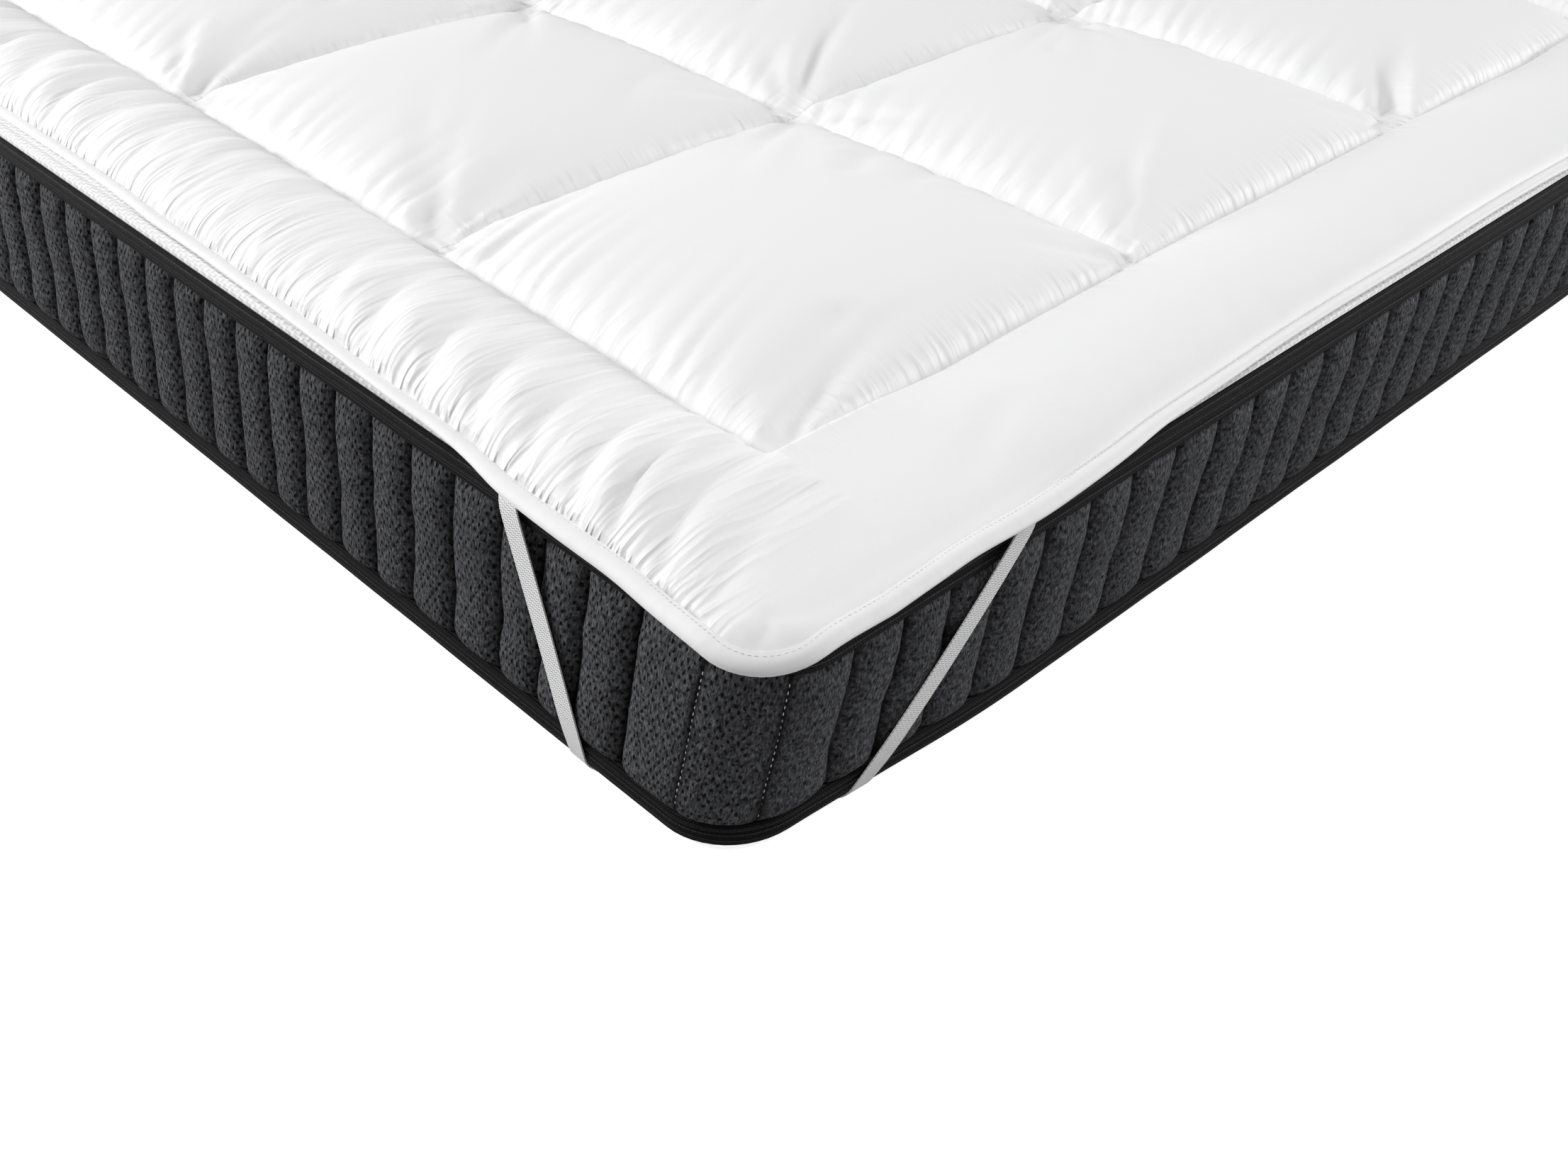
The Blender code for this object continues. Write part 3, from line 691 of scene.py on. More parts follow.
def tape_material(colour):
    """Black woven tape: fine cords along it and cross threads that catch the light, shown as
    painted highlights in its colour.
    """
    material, tree, shader, cloth = cloth_material("woven_tape", colour, 0.75, 0.0, 0.5, 0.10)
    cords = use_weave(tree, cloth, 0.0013, 0.0019)
    place = put(tree, "ShaderNodeSeparateXYZ", {0: cloth})
    band = maths(tree, "SINE", maths(tree, "MULTIPLY", place.outputs["Y"], 2 * math.pi / 0.0075))
    band = maths(tree, "POWER", maths(tree, "MULTIPLY_ADD", band, 0.5, 0.5), 1.5)
    yarn = use_group(tree, "Heather flecks", flecks_group, {"Vector": cloth, "Scale": 700.0})
    lines = maths(tree, "SINE", maths(tree, "MULTIPLY", place.outputs["Y"],
                                      2 * math.pi / 0.0032))
    height = maths(tree, "MULTIPLY_ADD", lines, 0.5, cords)
    bump(tree, shader, height, 0.0007)
    # Painted highlights on the tops of the cords, in bands across the tape, broken up by the yarn's
    # flecks.
    light = maths(tree, "POWER", cords, 3.0)
    light = maths(tree, "MULTIPLY", light, maths(tree, "MULTIPLY_ADD", band, 0.8, 0.12))
    light = maths(tree, "MULTIPLY", light, maths(tree, "MULTIPLY_ADD", yarn.outputs["Flecks"],
                                                 1.0, 0.55))
    light = put(tree, "ShaderNodeClamp", {0: light}).outputs[0]
    light = maths(tree, "MULTIPLY", light, maths(tree, "MULTIPLY_ADD", lines, 0.6, 0.7))
    tint(tree, shader, light, scaled(colour, 0.6), scaled(colour, 17.0))
    return material


def thread_material(name, colour):
    """Twisted sewing thread."""
    material, tree, shader, _ = cloth_material(name, colour, 0.65, 0.1, 0.5, 0.4)
    place = put(tree, "ShaderNodeTexCoord").outputs["Object"]
    ply = put(tree, "ShaderNodeTexNoise", {"Vector": place, "Scale": 2500.0, "Detail": 1.0})
    bump(tree, shader, ply.outputs["Fac"], 0.0002)
    tint(tree, shader, ply.outputs["Fac"], scaled(colour, 0.85), scaled(colour, 1.1))
    return material


# The quilted pad

def crowded(count):
    """Shares from 0 up to 1, closer together at both ends, without the last."""
    share = np.arange(count) / count
    return share - SEAM_CROWDING * np.sin(2 * math.pi * share)


def quilt_lines(half, strip, cells, shift, in_strip, in_cell):
    """Places across the pad, and the numbers of those on seams."""
    near, far = -half + strip - BINDING_WIDTH + shift, half - strip + BINDING_WIDTH + shift
    cell = (far - near) / cells
    places = [-half + (near + half) * crowded(in_strip)]
    places += [near + cell * (index + crowded(in_cell)) for index in range(cells)]
    places += [[far], (half - (half - far) * crowded(in_strip))[::-1]]
    seams = [in_strip + index * in_cell for index in range(cells + 1)]
    return np.concatenate(places), seams


def round_corners(x, y):
    """Turns the square corners of the pad's grid into round ones."""
    past_x, past_y = np.abs(x) - (HALF_X - PAD_RADIUS), np.abs(y) - (HALF_Y - PAD_RADIUS)
    corner = (past_x > 0) & (past_y > 0)
    reach = np.maximum(np.hypot(past_x, past_y), 1e-9)
    scale = np.maximum(past_x, past_y) / reach
    round_x = np.copysign(HALF_X - PAD_RADIUS + past_x * scale, x)
    round_y = np.copysign(HALF_Y - PAD_RADIUS + past_y * scale, y)
    return np.where(corner, round_x, x), np.where(corner, round_y, y)


class QuiltPlan:
    """The pad's grid: its columns and rows, and how far each point is from the seams."""

    def __init__(self, fineness):
        self.xs, self.seams_x = quilt_lines(HALF_X, STRIP_X, CELLS_X, QUILTING_SHIFT,
                                            STRIP_COLUMNS, CELL_COLUMNS)
        self.ys, self.seams_y = quilt_lines(HALF_Y, STRIP_Y, CELLS_Y, 0.0,
                                            STRIP_ROWS * fineness, CELL_ROWS * fineness)
        column, row = np.meshgrid(np.arange(len(self.xs)), np.arange(len(self.ys)))
        self.x, self.y = self.xs[column], self.ys[row]
        self.inside_x = (column >= self.seams_x[0]) & (column <= self.seams_x[-1])
        self.inside_y = (row >= self.seams_y[0]) & (row <= self.seams_y[-1])
        on_long = np.isin(column, self.seams_x) & self.inside_y
        on_cross = np.isin(row, self.seams_y) & self.inside_x
        self.seam = on_long | on_cross
        self.edge = ((column == 0) | (column == len(self.xs) - 1)
                     | (row == 0) | (row == len(self.ys) - 1))
        self.held = self.seam | self.edge
        self.from_edge_x = HALF_X - np.abs(self.x)
        self.from_edge_y = HALF_Y - np.abs(self.y)
        long_seams = self.xs[self.seams_x]
        cross_seams = self.ys[self.seams_y]
        self.to_long = np.abs(self.x[..., None] - long_seams).min(axis=-1)
        self.to_cross = np.abs(self.y[..., None] - cross_seams).min(axis=-1)

    def base(self):
        """Thickness of the pad at its seams and edge."""
        strip = np.minimum(self.from_edge_x / (STRIP_X - BINDING_WIDTH),
                           self.from_edge_y / (STRIP_Y - BINDING_WIDTH))
        share = np.clip(strip, 0, 1)
        return EDGE_THICKNESS + (SEAM_THICKNESS - EDGE_THICKNESS) * share

    def crown(self, cell_crown, strip_crown):
        """A first guess at the filled shape, over the base."""
        def hump(place, seams, half):
            walls = np.concatenate(([-half], seams, [half]))
            index = np.clip(np.searchsorted(walls, place) - 1, 0, len(walls) - 2)
            share = (place - walls[index]) / (walls[index + 1] - walls[index])
            return np.sin(math.pi * np.clip(share, 0, 1)) ** 0.6
        hump_x = hump(self.xs, self.xs[self.seams_x], HALF_X)[None, :]
        hump_y = hump(self.ys, self.ys[self.seams_y], HALF_Y)[:, None]
        cells = cell_crown * hump_x * hump_y
        long_strip = strip_crown * hump_x * (0.85 + 0.15 * hump_y)
        cross_strip = strip_crown * hump_y * (0.85 + 0.15 * hump_x)
        corner = strip_crown * np.minimum(hump_x, hump_y)
        crown = np.where(self.inside_x, np.where(self.inside_y, cells, cross_strip),
                         np.where(self.inside_y, long_strip, corner))
        return np.where(self.held, 0.0, crown)


def smoothed(values, keep, times):
    """Evens out values over the grid, except where keep is set."""
    for _ in range(times):
        mean = values.copy()
        mean[1:-1, 1:-1] = (values[1:-1, 1:-1] * 2 + values[:-2, 1:-1] + values[2:, 1:-1]
                            + values[1:-1, :-2] + values[1:-1, 2:]) / 6
        values = np.where(keep, values, mean)
    return values


def fill_cloth(plan, start, sizes):
    """Blows the cloth up from its seams with a cloth simulation, and gives its points."""
    piece, column, row = lay_grid("quilt_cloth", plan.xs, plan.ys, start)
    most = max(sizes.gathers, sizes.cell_fullness)
    held = piece.vertex_groups.new(name="held")
    held.add(np.nonzero(plan.held[row, column])[0].tolist(), 1.0, "REPLACE")
    fullness = piece.vertex_groups.new(name="fullness")
    spare = np.where(plan.inside_x & plan.inside_y, sizes.cell_fullness, 0.0)
    along_side = smooth_step((plan.from_edge_y - 0.100) / 0.080)
    spare = np.where(plan.inside_x, spare, sizes.gathers * along_side)
    level = np.rint(10 * spare / most).astype(int)[row, column]
    for number in range(1, 11):
        fullness.add(np.nonzero(level == number)[0].tolist(), number / 10, "REPLACE")
    modifier = piece.modifiers.new("filling", "CLOTH")
    cloth = modifier.settings
    cloth.quality = 5
    cloth.mass = 0.15
    cloth.tension_stiffness = cloth.compression_stiffness = 15.0
    cloth.shear_stiffness = 5.0
    cloth.bending_stiffness = 0.1
    cloth.vertex_group_mass = "held"
    cloth.use_pressure = True
    cloth.uniform_pressure_force = 4.0
    cloth.shrink_min = 0.0
    cloth.shrink_max = -most
    cloth.vertex_group_shrink = "fullness"
    cloth.effector_weights.gravity = 0.0
    modifier.collision_settings.use_collision = False
    frames = 20
    modifier.point_cache.frame_start, modifier.point_cache.frame_end = 1, frames
    for number in range(1, frames + 1):
        bpy.context.scene.frame_set(number)
    bpy.ops.object.modifier_apply(modifier=modifier.name)
    bpy.context.scene.frame_set(1)
    flat = np.empty(len(piece.data.vertices) * 3, np.float32)
    piece.data.vertices.foreach_get("co", flat)
    points = start.copy()
    points[row, column] = flat.reshape(-1, 3)
    bpy.data.objects.remove(piece)
    return points


def between_rows(points):
    """Adds a row halfway between each two rows of points."""
    padded = np.concatenate((points[:1], points, points[-1:]))
    finer = np.empty((2 * len(points) - 1, *points.shape[1:]))
    finer[::2] = points
    finer[1::2] = (9 * (padded[1:-2] + padded[2:-1]) - padded[:-3] - padded[3:]) / 16
    return finer


def gathered_ridges(plan, random):
    """Curved ridges across the long border strips, where their cloth is gathered. They branch
    halfway, as those at the binding are other ones than those at the inner seam."""
    inner = np.where(plan.x < 0, -plan.xs[plan.seams_x[0]], plan.xs[plan.seams_x[-1]])
    from_inner = np.maximum(np.abs(plan.x) - inner, 0.0)
    share = from_inner / np.maximum(from_inner + plan.from_edge_x, 1e-6)
    height = np.zeros_like(plan.x)
    for side in (plan.x < 0, plan.x > 0):
        inward = 1 - share
        arc = 1 + 0.6 * wander(plan.ys, 0.14, random)[:, None]
        along = plan.y - arc * (0.080 * inward - 0.052 * inward ** 2)
        outer_part = smooth_step((share - 0.25) / 0.5)
        strengths = [np.clip(0.5 + 0.6 * wander(plan.ys, 0.08, random)[:, None], 0, 1)
                     for _ in range(4)]
        ridges = 0.0130 * outer_part * ripples(along, 0.066, 0.55, random) * strengths[0]
        ridges += 0.0120 * (1 - outer_part) * ripples(along, 0.056, 0.55, random) * strengths[1]
        ridges *= np.sin(math.pi * share) ** 0.6
        ridges += 0.0034 * ripples(along, 0.026, 0.50, random) * strengths[2] * np.exp(
            -from_inner / 0.050) * smooth_step(from_inner / 0.006)
        ridges += 0.0040 * ripples(along, 0.022, 0.50, random) * strengths[3] * np.exp(
            -plan.from_edge_x / 0.030) * smooth_step(plan.from_edge_x / 0.005)
        height = np.where(side & ~plan.inside_x, ridges, height)
    return height * smooth_step((plan.from_edge_y - 0.035) / 0.100)


def seam_ridges(plan, random):
    """Ridges that slant into the cells from the long seams, and short ones from the others."""
    inside = plan.inside_x & plan.inside_y & ~plan.held
    height = np.zeros_like(plan.x)
    for seam in plan.xs[plan.seams_x]:
        for way in (-1, 1):
            away = (plan.x - seam) * way
            slant = 0.45 + 0.30 * wander(plan.ys, 0.12, random)[:, None]
            reach = 0.045 + 0.025 * wander(plan.ys, 0.07, random)[:, None]
            ridges = ripples(plan.y - slant * away, 0.030, 0.50, random)
            ridges *= np.exp(-away / reach) * smooth_step(away / 0.008)
            height = np.where(away > 0, height + 0.0046 * ridges, height)
    for seam in plan.ys[plan.seams_y]:
        for way in (-1, 1):
            away = (plan.y - seam) * way
            reach = 0.026 + 0.014 * wander(plan.xs, 0.07, random)[None, :]
            ridges = ripples(plan.x - 0.4 * away, 0.038, 0.45, random)
            ridges *= np.exp(-away / reach) * smooth_step(away / 0.008)
            height = np.where(away > 0, height + 0.0030 * ridges, height)
    return np.where(inside, height, 0.0)


def crease(plan, place, angle, length, width, depth):
    """A soft trough, or a ridge where depth is negative, that starts at a place and fades."""
    from_x, from_y = plan.x - place[0], plan.y - place[1]
    along = from_x * math.cos(angle) + from_y * math.sin(angle)
    across = from_y * math.cos(angle) - from_x * math.sin(angle)
    across = across + 0.10 * along * np.abs(along) / length
    fade = smooth_step(along / 0.012) * smooth_step((length - along) / (0.75 * length))
    return -depth * np.exp(-(across / width) ** 2) * fade


def tuft_creases(plan, random):
    """Creases that the cloth makes outwards from where the quilting's seams cross."""
    height = np.zeros_like(plan.x)
    inside = plan.inside_x & plan.inside_y & ~plan.held
    for seam_x in plan.xs[plan.seams_x]:
        for seam_y in plan.ys[plan.seams_y]:
            for quarter in range(4):
                long = quarter % 2 == 0  # those that run the way the cloth is pulled
                for _ in range(4 if long else 2):
                    angle = math.pi / 2 * quarter + random.uniform(0.20, 1.10)
                    depth = random.uniform(0.0025, 0.0060) * random.choice((1, 1, -1))
                    height += crease(plan, (seam_x, seam_y), angle,
                                     random.uniform(0.14, 0.36) * (1.0 if long else 0.5),
                                     random.uniform(0.009, 0.017), depth)
    return np.where(inside, height, 0.0)


def stray_creases(plan, random):
    """A few short slanting creases in the cells and the short strips."""
    height = np.zeros_like(plan.x)
    for _ in range(70):
        place = (random.uniform(-0.75, 0.75), random.uniform(-0.95, 0.95))
        angle = random.uniform(0.3, 0.9) + random.choice((0.0, math.pi))
        height += crease(plan, place, angle, random.uniform(0.10, 0.26),
                         random.uniform(0.009, 0.018), random.uniform(0.0014, 0.0034))
    fade = smooth_step(np.minimum(plan.to_long, plan.to_cross) / 0.02)
    return np.where(plan.inside_x & ~plan.held, height * fade, 0.0)


def strip_wrinkles(plan, random):
    """Soft wrinkles across the short border strips, a way in from the binding."""
    share = np.clip(plan.from_edge_y / (STRIP_Y - BINDING_WIDTH), 0, 1)
    strength = np.clip(0.6 + 0.5 * wander(plan.xs, 0.11, random)[None, :], 0, 1)
    ridges = ripples(plan.x - 0.35 * plan.from_edge_y, 0.058, 0.6, random) * strength
    fade = np.sin(math.pi * share) ** 0.8 * smooth_step((plan.from_edge_x - 0.20) / 0.15)
    return np.where(plan.inside_x & ~plan.inside_y & ~plan.held, 0.0026 * ridges * fade, 0.0)


def quilt_shape(plan, sizes):
    """Where the pad's upper cloth lies, draped."""
    random = np.random.default_rng(SEED)
    coarse = QuiltPlan(1)
    crown = coarse.crown(sizes.cell_crown, sizes.strip_crown)
    x, y = round_corners(coarse.x, coarse.y)
    folds = ripples(coarse.y, 0.036, 0.4, random)
    strip = ~coarse.inside_x & ~coarse.held
    start = points_of(x, y, crown * np.where(strip, 0.50 + 0.20 * folds, 0.6))
    points = fill_cloth(coarse, start, sizes)
    points = between_rows(points)
    points[::2][coarse.held] = points_of(x, y, 0.0)[coarse.held]
    points[plan.edge] = points_of(*round_corners(plan.x, plan.y), 0.0)[plan.edge]
    raised = np.where(plan.held, 0.0, np.maximum(points[..., 2], 0.0))
    wide = smoothed(raised, plan.held, 40)
    fine = smoothed(raised, plan.held, 4) - wide
    cells = plan.inside_x & plan.inside_y
    corners = ~plan.inside_x & ~plan.inside_y
    short_strips = plan.inside_x & ~plan.inside_y
    for part, height, power in ((cells, sizes.cell_crown, 0.60),
                                (short_strips, sizes.strip_crown * 0.75, 0.60),
                                (~plan.inside_x, sizes.strip_crown, 0.75)):
        top = np.percentile(wide[part], 99)
        wide = np.where(part, height * np.clip(wide / top, 0, None) ** power, wide)
    past_x, past_y = plan.from_edge_x - PAD_RADIUS, plan.from_edge_y - PAD_RADIUS
    rim = np.where((past_x < 0) & (past_y < 0), PAD_RADIUS - np.hypot(past_x, past_y),
                   np.minimum(plan.from_edge_x, plan.from_edge_y))
    flat = sizes.strip_crown * 0.55 * (1 - np.exp(-np.maximum(rim, 0.0) / 0.035))
    mix = np.where(plan.inside_y, 1.0, smooth_step(
        (np.abs(plan.x) - plan.xs[plan.seams_x[-1]] + 0.10) / -0.10))
    mix = np.where(plan.inside_x, mix, smooth_step((plan.from_edge_y - 0.090) / 0.110))
    wide = flat * (1 - mix) + wide * mix
    fine = fine * np.where(cells, 1.0, 0.35) * mix
    raised = smoothed(wide, plan.held, 3) + fine + gathered_ridges(plan, random)
    raised += tuft_creases(plan, random) + stray_creases(plan, random)
    raised += seam_ridges(plan, random) + strip_wrinkles(plan, random)
    above = plan.base() + np.where(plan.held, 0.0, np.maximum(raised, 0.0))
    return drape(points[..., 0], points[..., 1], above)


def close_pad(piece, plan):
    """Adds the pad's rim and underside below its upper cloth."""
    insets = (0.0, 0.010, 0.020, 0.032)
    loop = np.concatenate((
        np.stack((plan.x[0, :-1], plan.y[0, :-1]), 1),
        np.stack((plan.x[:-1, -1], plan.y[:-1, -1]), 1),
        np.stack((plan.x[-1, :0:-1], plan.y[-1, :0:-1]), 1),
        np.stack((plan.x[:0:-1, 0], plan.y[:0:-1, 0]), 1)))
    loop_x, loop_y = round_corners(loop[:, 0], loop[:, 1])
    rings = [drape(loop_x, loop_y, np.full(len(loop_x), EDGE_THICKNESS))]
    for inset in insets:
        rings.append(drape(loop_x * (1 - inset / HALF_X), loop_y * (1 - inset / HALF_Y), 0.0))
    rings.append(np.broadcast_to(drape(0.0, 0.0, 0.0), rings[0].shape))
    rings = np.array(rings)
    rings = np.concatenate((rings, rings[:, :1]), axis=1)
    below, _, _ = lay_grid("pad_underside", np.arange(len(loop_x) + 1) * 0.006,
                           np.arange(len(rings)) * 0.008, rings)
    weld(below, 1e-6)
    deselect_all()
    below.select_set(True)
    piece.select_set(True)
    bpy.context.view_layer.objects.active = piece
    bpy.ops.object.join()
    weld(piece)


class MakeQuilt(bpy.types.Operator):
    """Makes the filled, quilted pad and the stitches of its seams"""

    bl_idname = "bedding.make_quilt"
    bl_label = "Quilted pad"

    def execute(self, context):
        sizes = context.scene.quilt_sizes
        plan = QuiltPlan(2)
        shape = quilt_shape(plan, sizes)
        piece, column, row = lay_grid("topper_quilt", plan.xs, plan.ys, shape)
        mesh = piece.data
        strips = ~plan.inside_x
        near_long = np.exp(-plan.to_long / 0.020) * plan.inside_y
        near_cross = 1.1 * np.exp(-plan.to_cross / 0.016) * plan.inside_x
        near_edge = 1.3 * np.exp(-plan.from_edge_x / 0.022) * smooth_step(
            (plan.from_edge_y - 0.02) / 0.05)
        near_edge += 0.35 * strips * smooth_step((plan.from_edge_y - 0.05) / 0.05)
        for name, values in (("by_long_seam", 0.6 * near_long), ("by_cross_seam", near_cross),
                             ("by_edge", near_edge)):
            attribute = mesh.attributes.new(name, "FLOAT", "POINT")
            attribute.data.foreach_set("value", values[row, column].astype(np.float32))
        close_pad(piece, plan)
        finish_piece(piece, quilt_material(sizes.colour), ("topper",), angle=80)
        self.sew_seams(plan, shape)
        return {"FINISHED"}

    def sew_seams(self, plan, shape):
        rows = []
        for seam in plan.seams_x:
            line = shape[plan.seams_y[0]:plan.seams_y[-1] + 1, seam]
            rows.append(seam_row(line, 0.0055))
        for seam in plan.seams_y:
            line = shape[seam, plan.seams_x[0]:plan.seams_x[-1] + 1]
            rows.append(seam_row(line, 0.0055))
        thread = thread_material("quilting_thread", (0.80, 0.80, 0.80))
        sew("quilting_stitches", rows, 0.0036, 0.0007, thread)


def seam_row(line, pitch):
    """A seam along a line of points: its place function and the stitches' distances."""
    lengths = np.linalg.norm(np.diff(line, axis=0), axis=1)
    reach = np.concatenate(([0.0], np.cumsum(lengths)))

    def place(distance, lift):
        spots = [np.interp(distance, reach, line[:, axis]) for axis in range(3)]
        return points_of(spots[0], spots[1], spots[2] + lift)
    return place, np.arange(pitch, reach[-1] - pitch, pitch)


class MakeBinding(bpy.types.Operator):
    """Makes the folded binding round the pad and the stitches that hold it"""

    bl_idname = "bedding.make_binding"
    bl_label = "Binding"

    def execute(self, context):
        random = np.random.default_rng(SEED + 1)
        count = 1300
        distance = np.linspace(0.0, ROUND_PAD, count + 1)
        section = ((-0.0012, 0.0042), (0.0008, 0.0046), (0.0030, 0.0053), (0.0058, 0.0056),
                   (0.0088, 0.0053), (0.0112, 0.0044), (0.0126, 0.0031), (0.0130, 0.0018),
                   (0.0123, 0.0007), (0.0100, 0.0003), (0.0060, 0.0002), (0.0015, 0.0002))
        out = np.array([row[0] for row in section])[:, None]
        above = np.array([row[1] for row in section])[:, None]
        puff = 0.00035 * wander(distance, 0.018, random, 1)[None, :]
        ease = 0.0005 * wander(distance, 0.060, random, 2)[None, :]
        point, normal = outline(distance, *PAD)
        out = out + ease * np.clip(out / BINDING_WIDTH, 0, 1)
        above = above + puff * np.clip((above - 0.003) / 0.003, 0, 1)
        x = point[None, :, 0] + normal[None, :, 0] * out
        y = point[None, :, 1] + normal[None, :, 1] * out
        shape = drape(x, y, above)
        shape[:, -1] = shape[:, 0]
        widths = np.concatenate(([0.0], np.cumsum(np.hypot(
            np.diff([row[0] for row in section]), np.diff([row[1] for row in section])))))
        piece, _, _ = lay_grid("edge_binding", distance, widths, shape)
        weld(piece)
        thicken(piece, 0.0007, -1.0)
        colour = scaled(context.scene.quilt_sizes.colour, 0.99)
        finish_piece(piece, binding_material(colour), ("topper_binding",))

        def place(where, lift):
            spot, away = outline(where, *PAD)
            spot = spot + away * 0.0010
            return drape(spot[:, 0], spot[:, 1], 0.0047 + lift)
        thread = thread_material("binding_thread", (0.84, 0.84, 0.845))
        stitches = np.arange(0.0, ROUND_PAD - 0.002, 0.0042)
        sew("binding_stitches", [(place, stitches)], 0.0028, 0.0006, thread)
        return {"FINISHED"}


# Straps

STRAP_DROP = 0.190
STRAP_RUN = (  # height, distance outwards, and how far the strap strays along the side
    (0.2013, -0.0150, 0.0000),
    (0.2014, -0.0060, 0.0000),
    (0.2010, 0.0000, 0.0000),
    (0.1985, 0.0050, 0.0000),
    (0.1920, 0.0072, 0.0000),
    (0.1800, 0.0076, -0.0004),
    (0.1600, 0.0076, -0.0010),
    (0.1300, 0.0075, -0.0018),
    (0.1000, 0.0074, -0.0027),
    (0.0700, 0.0072, -0.0034),
    (0.0420, 0.0068, -0.0038),
    (0.0240, 0.0054, -0.0028),
    (0.0100, 0.0035, -0.0012),
    (0.0030, 0.0024, 0.0000),
    (0.0012, 0.0000, 0.0000),
)


def strap_path():
    """The middle line of a strap and the direction across it, at one corner. X and Y are
    distances in from the mattress's long and short side."""
    line, across = [], []
    for top, foot, flip in ((STRAP_LONG_TOP, STRAP_LONG_FOOT, False),
                            (STRAP_SHORT_TOP, STRAP_SHORT_FOOT, True)):
        slope = Vector((foot - top, 0.0, -STRAP_DROP)).normalized()
        square = Vector((-slope.z, 0.0, slope.x))
        level = Vector((1.0, 0.0, 0.0))
        run = []
        for height, out, stray in STRAP_RUN:
            along = foot + (top - foot) * height / STRAP_DROP + stray
            tilt = smooth_step((height - 0.008) / 0.034) * smooth_step((0.2005 - height) / 0.006)
            turn = level.lerp(square, float(tilt))
            run.append((Vector((along, -out, height)), turn.normalized()))
        if flip:
            run.reverse()
        for place, side in run:
            if flip:
                line.append((place.x, place.y, place.z))
                across.append((side.x, side.y, side.z))
            else:
                line.append((place.y, place.x, place.z))
                across.append((side.y, side.x, side.z))
        if not flip:
            long_foot = Vector((0, STRAP_LONG_FOOT, STRAP_UNDER))
            short_foot = Vector((STRAP_SHORT_FOOT, 0, STRAP_UNDER))
            run_under = (short_foot - long_foot).normalized()
            for share in (0.09, 0.3, 0.5, 0.7, 0.91):
                line.append(tuple(long_foot.lerp(short_foot, share)))
                across.append((-run_under.y, run_under.x, 0.0))
    return np.array(line), np.array(across)


class MakeStraps(bpy.types.Operator):
    """Makes the elastic strap at each corner"""

    bl_idname = "bedding.make_straps"
    bl_label = "Corner straps"

    def execute(self, context):
        line, across = strap_path()
        lengths = np.linalg.norm(np.diff(line, axis=0), axis=1)
        reach = np.concatenate(([0.0], np.cumsum(lengths)))
        along = np.linspace(0, reach[-1], 241)
        centre = np.stack([np.interp(along, reach, line[:, axis]) for axis in range(3)], 1)
        side = np.stack([np.interp(along, reach, across[:, axis]) for axis in range(3)], 1)
        for _ in range(4):
            centre[1:-1] = (centre[:-2] + 2 * centre[1:-1] + centre[2:]) / 4
            side[1:-1] = (side[:-2] + 2 * side[1:-1] + side[2:]) / 4
        side /= np.linalg.norm(side, axis=1, keepdims=True)
        width = np.linspace(-STRAP_WIDTH / 2, STRAP_WIDTH / 2, 15)
        material = elastic_material()
        for name, side_x, side_y in (("strap_front_left", -1, -1), ("strap_front_right", 1, -1),
                                     ("strap_back_left", -1, 1), ("strap_back_right", 1, 1)):
            near = centre[:, None] + side[:, None] * width[None, :, None]
            place = points_of(side_x * (WIDTH / 2 - near[..., 0]),
                              side_y * (LENGTH / 2 - near[..., 1]), near[..., 2])
            piece, _, _ = lay_grid(name + "_elastic", width, along, settle(place))
            thicken(piece, STRAP_THICKNESS, 0.0)
            weld(piece, 1e-6)
            finish_piece(piece, material, (name,))
        return {"FINISHED"}


# The mattress's side band

RIB_SAG = 0.0018
RIB_SHARES = (0.0, 0.015, 0.04, 0.08, 0.14, 0.22, 0.33, 0.5, 0.67, 0.78, 0.86, 0.92, 0.96, 0.985)


def corner_middles():
    """Distances round the mattress to each corner's middle, and to the first one again."""
    quarter = CORNER_RADIUS * math.pi / 2
    short = WIDTH - 2 * CORNER_RADIUS + quarter
    long = LENGTH - 2 * CORNER_RADIUS + quarter
    return (0.0, short, short + long, 2 * short + long, 2 * (short + long))


def rib_seams():
    """Distances round the mattress to each seam between ribs, from the first corner's, and
    whether each is beside a corner."""
    seams, corner = [], []
    middles = corner_middles()
    for index, (start, end) in enumerate(zip(middles, middles[1:])):
        known = np.array(SHORT_SEAMS if index % 2 == 0 else LONG_SEAMS)
        last = end - start - OTHER_CORNER_SEAM
        count = round((last - known[-1]) / RIB_PITCH)
        rest = known[-1] + (last - known[-1]) * np.arange(1, count + 1) / count
        places = np.concatenate((known, rest))
        if index % 2 == 1:
            places = (end - start - places)[::-1]
        seams.append(start + places)
        corner += [True] + [False] * (len(places) - 2) + [True]
    return np.concatenate(seams), np.array(corner)


def rib_swell(rows):
    """How swollen the ribs are at a share of their height and how far out they stand. They
    sag over the lower tape."""
    power = np.where(rows < 0.5, 9.0, 5.0)
    swollen = np.sqrt(np.clip(1 - np.abs(2 * rows - 1) ** power, 0, 1))
    sag = RIB_SAG * np.exp(-((rows - 0.10) / 0.14) ** 2)
    return swollen, -0.0052 + (0.0100 + sag) * swollen


def seam_sway(height, phase, size):
    """How far a seam strays sideways at a height, as the knit is never quite even."""
    turn = height / 0.148 * 2 * math.pi
    return size * (np.sin(turn * 0.6 + phase) * 0.55 + np.sin(turn * 1.9 + 2.3 * phase) * 0.30
                   + np.sin(turn * 3.7 + 5.1 * phase) * 0.16)


# On the long and the short sides: how much lower the upper tape's upper edge is, how much
# higher its lower edge is, how much lower the lower tape's upper edge is, and the ribs' ends
TOP_DROPS = (0.0055, 0.0085)
TOP_RAISES = (0.0080, -0.0040)
BOTTOM_DROPS = (0.0057, 0.0017)
RIB_FEET = (0.0205, 0.0245)
RIB_HEADS = (0.1818, 0.1698)


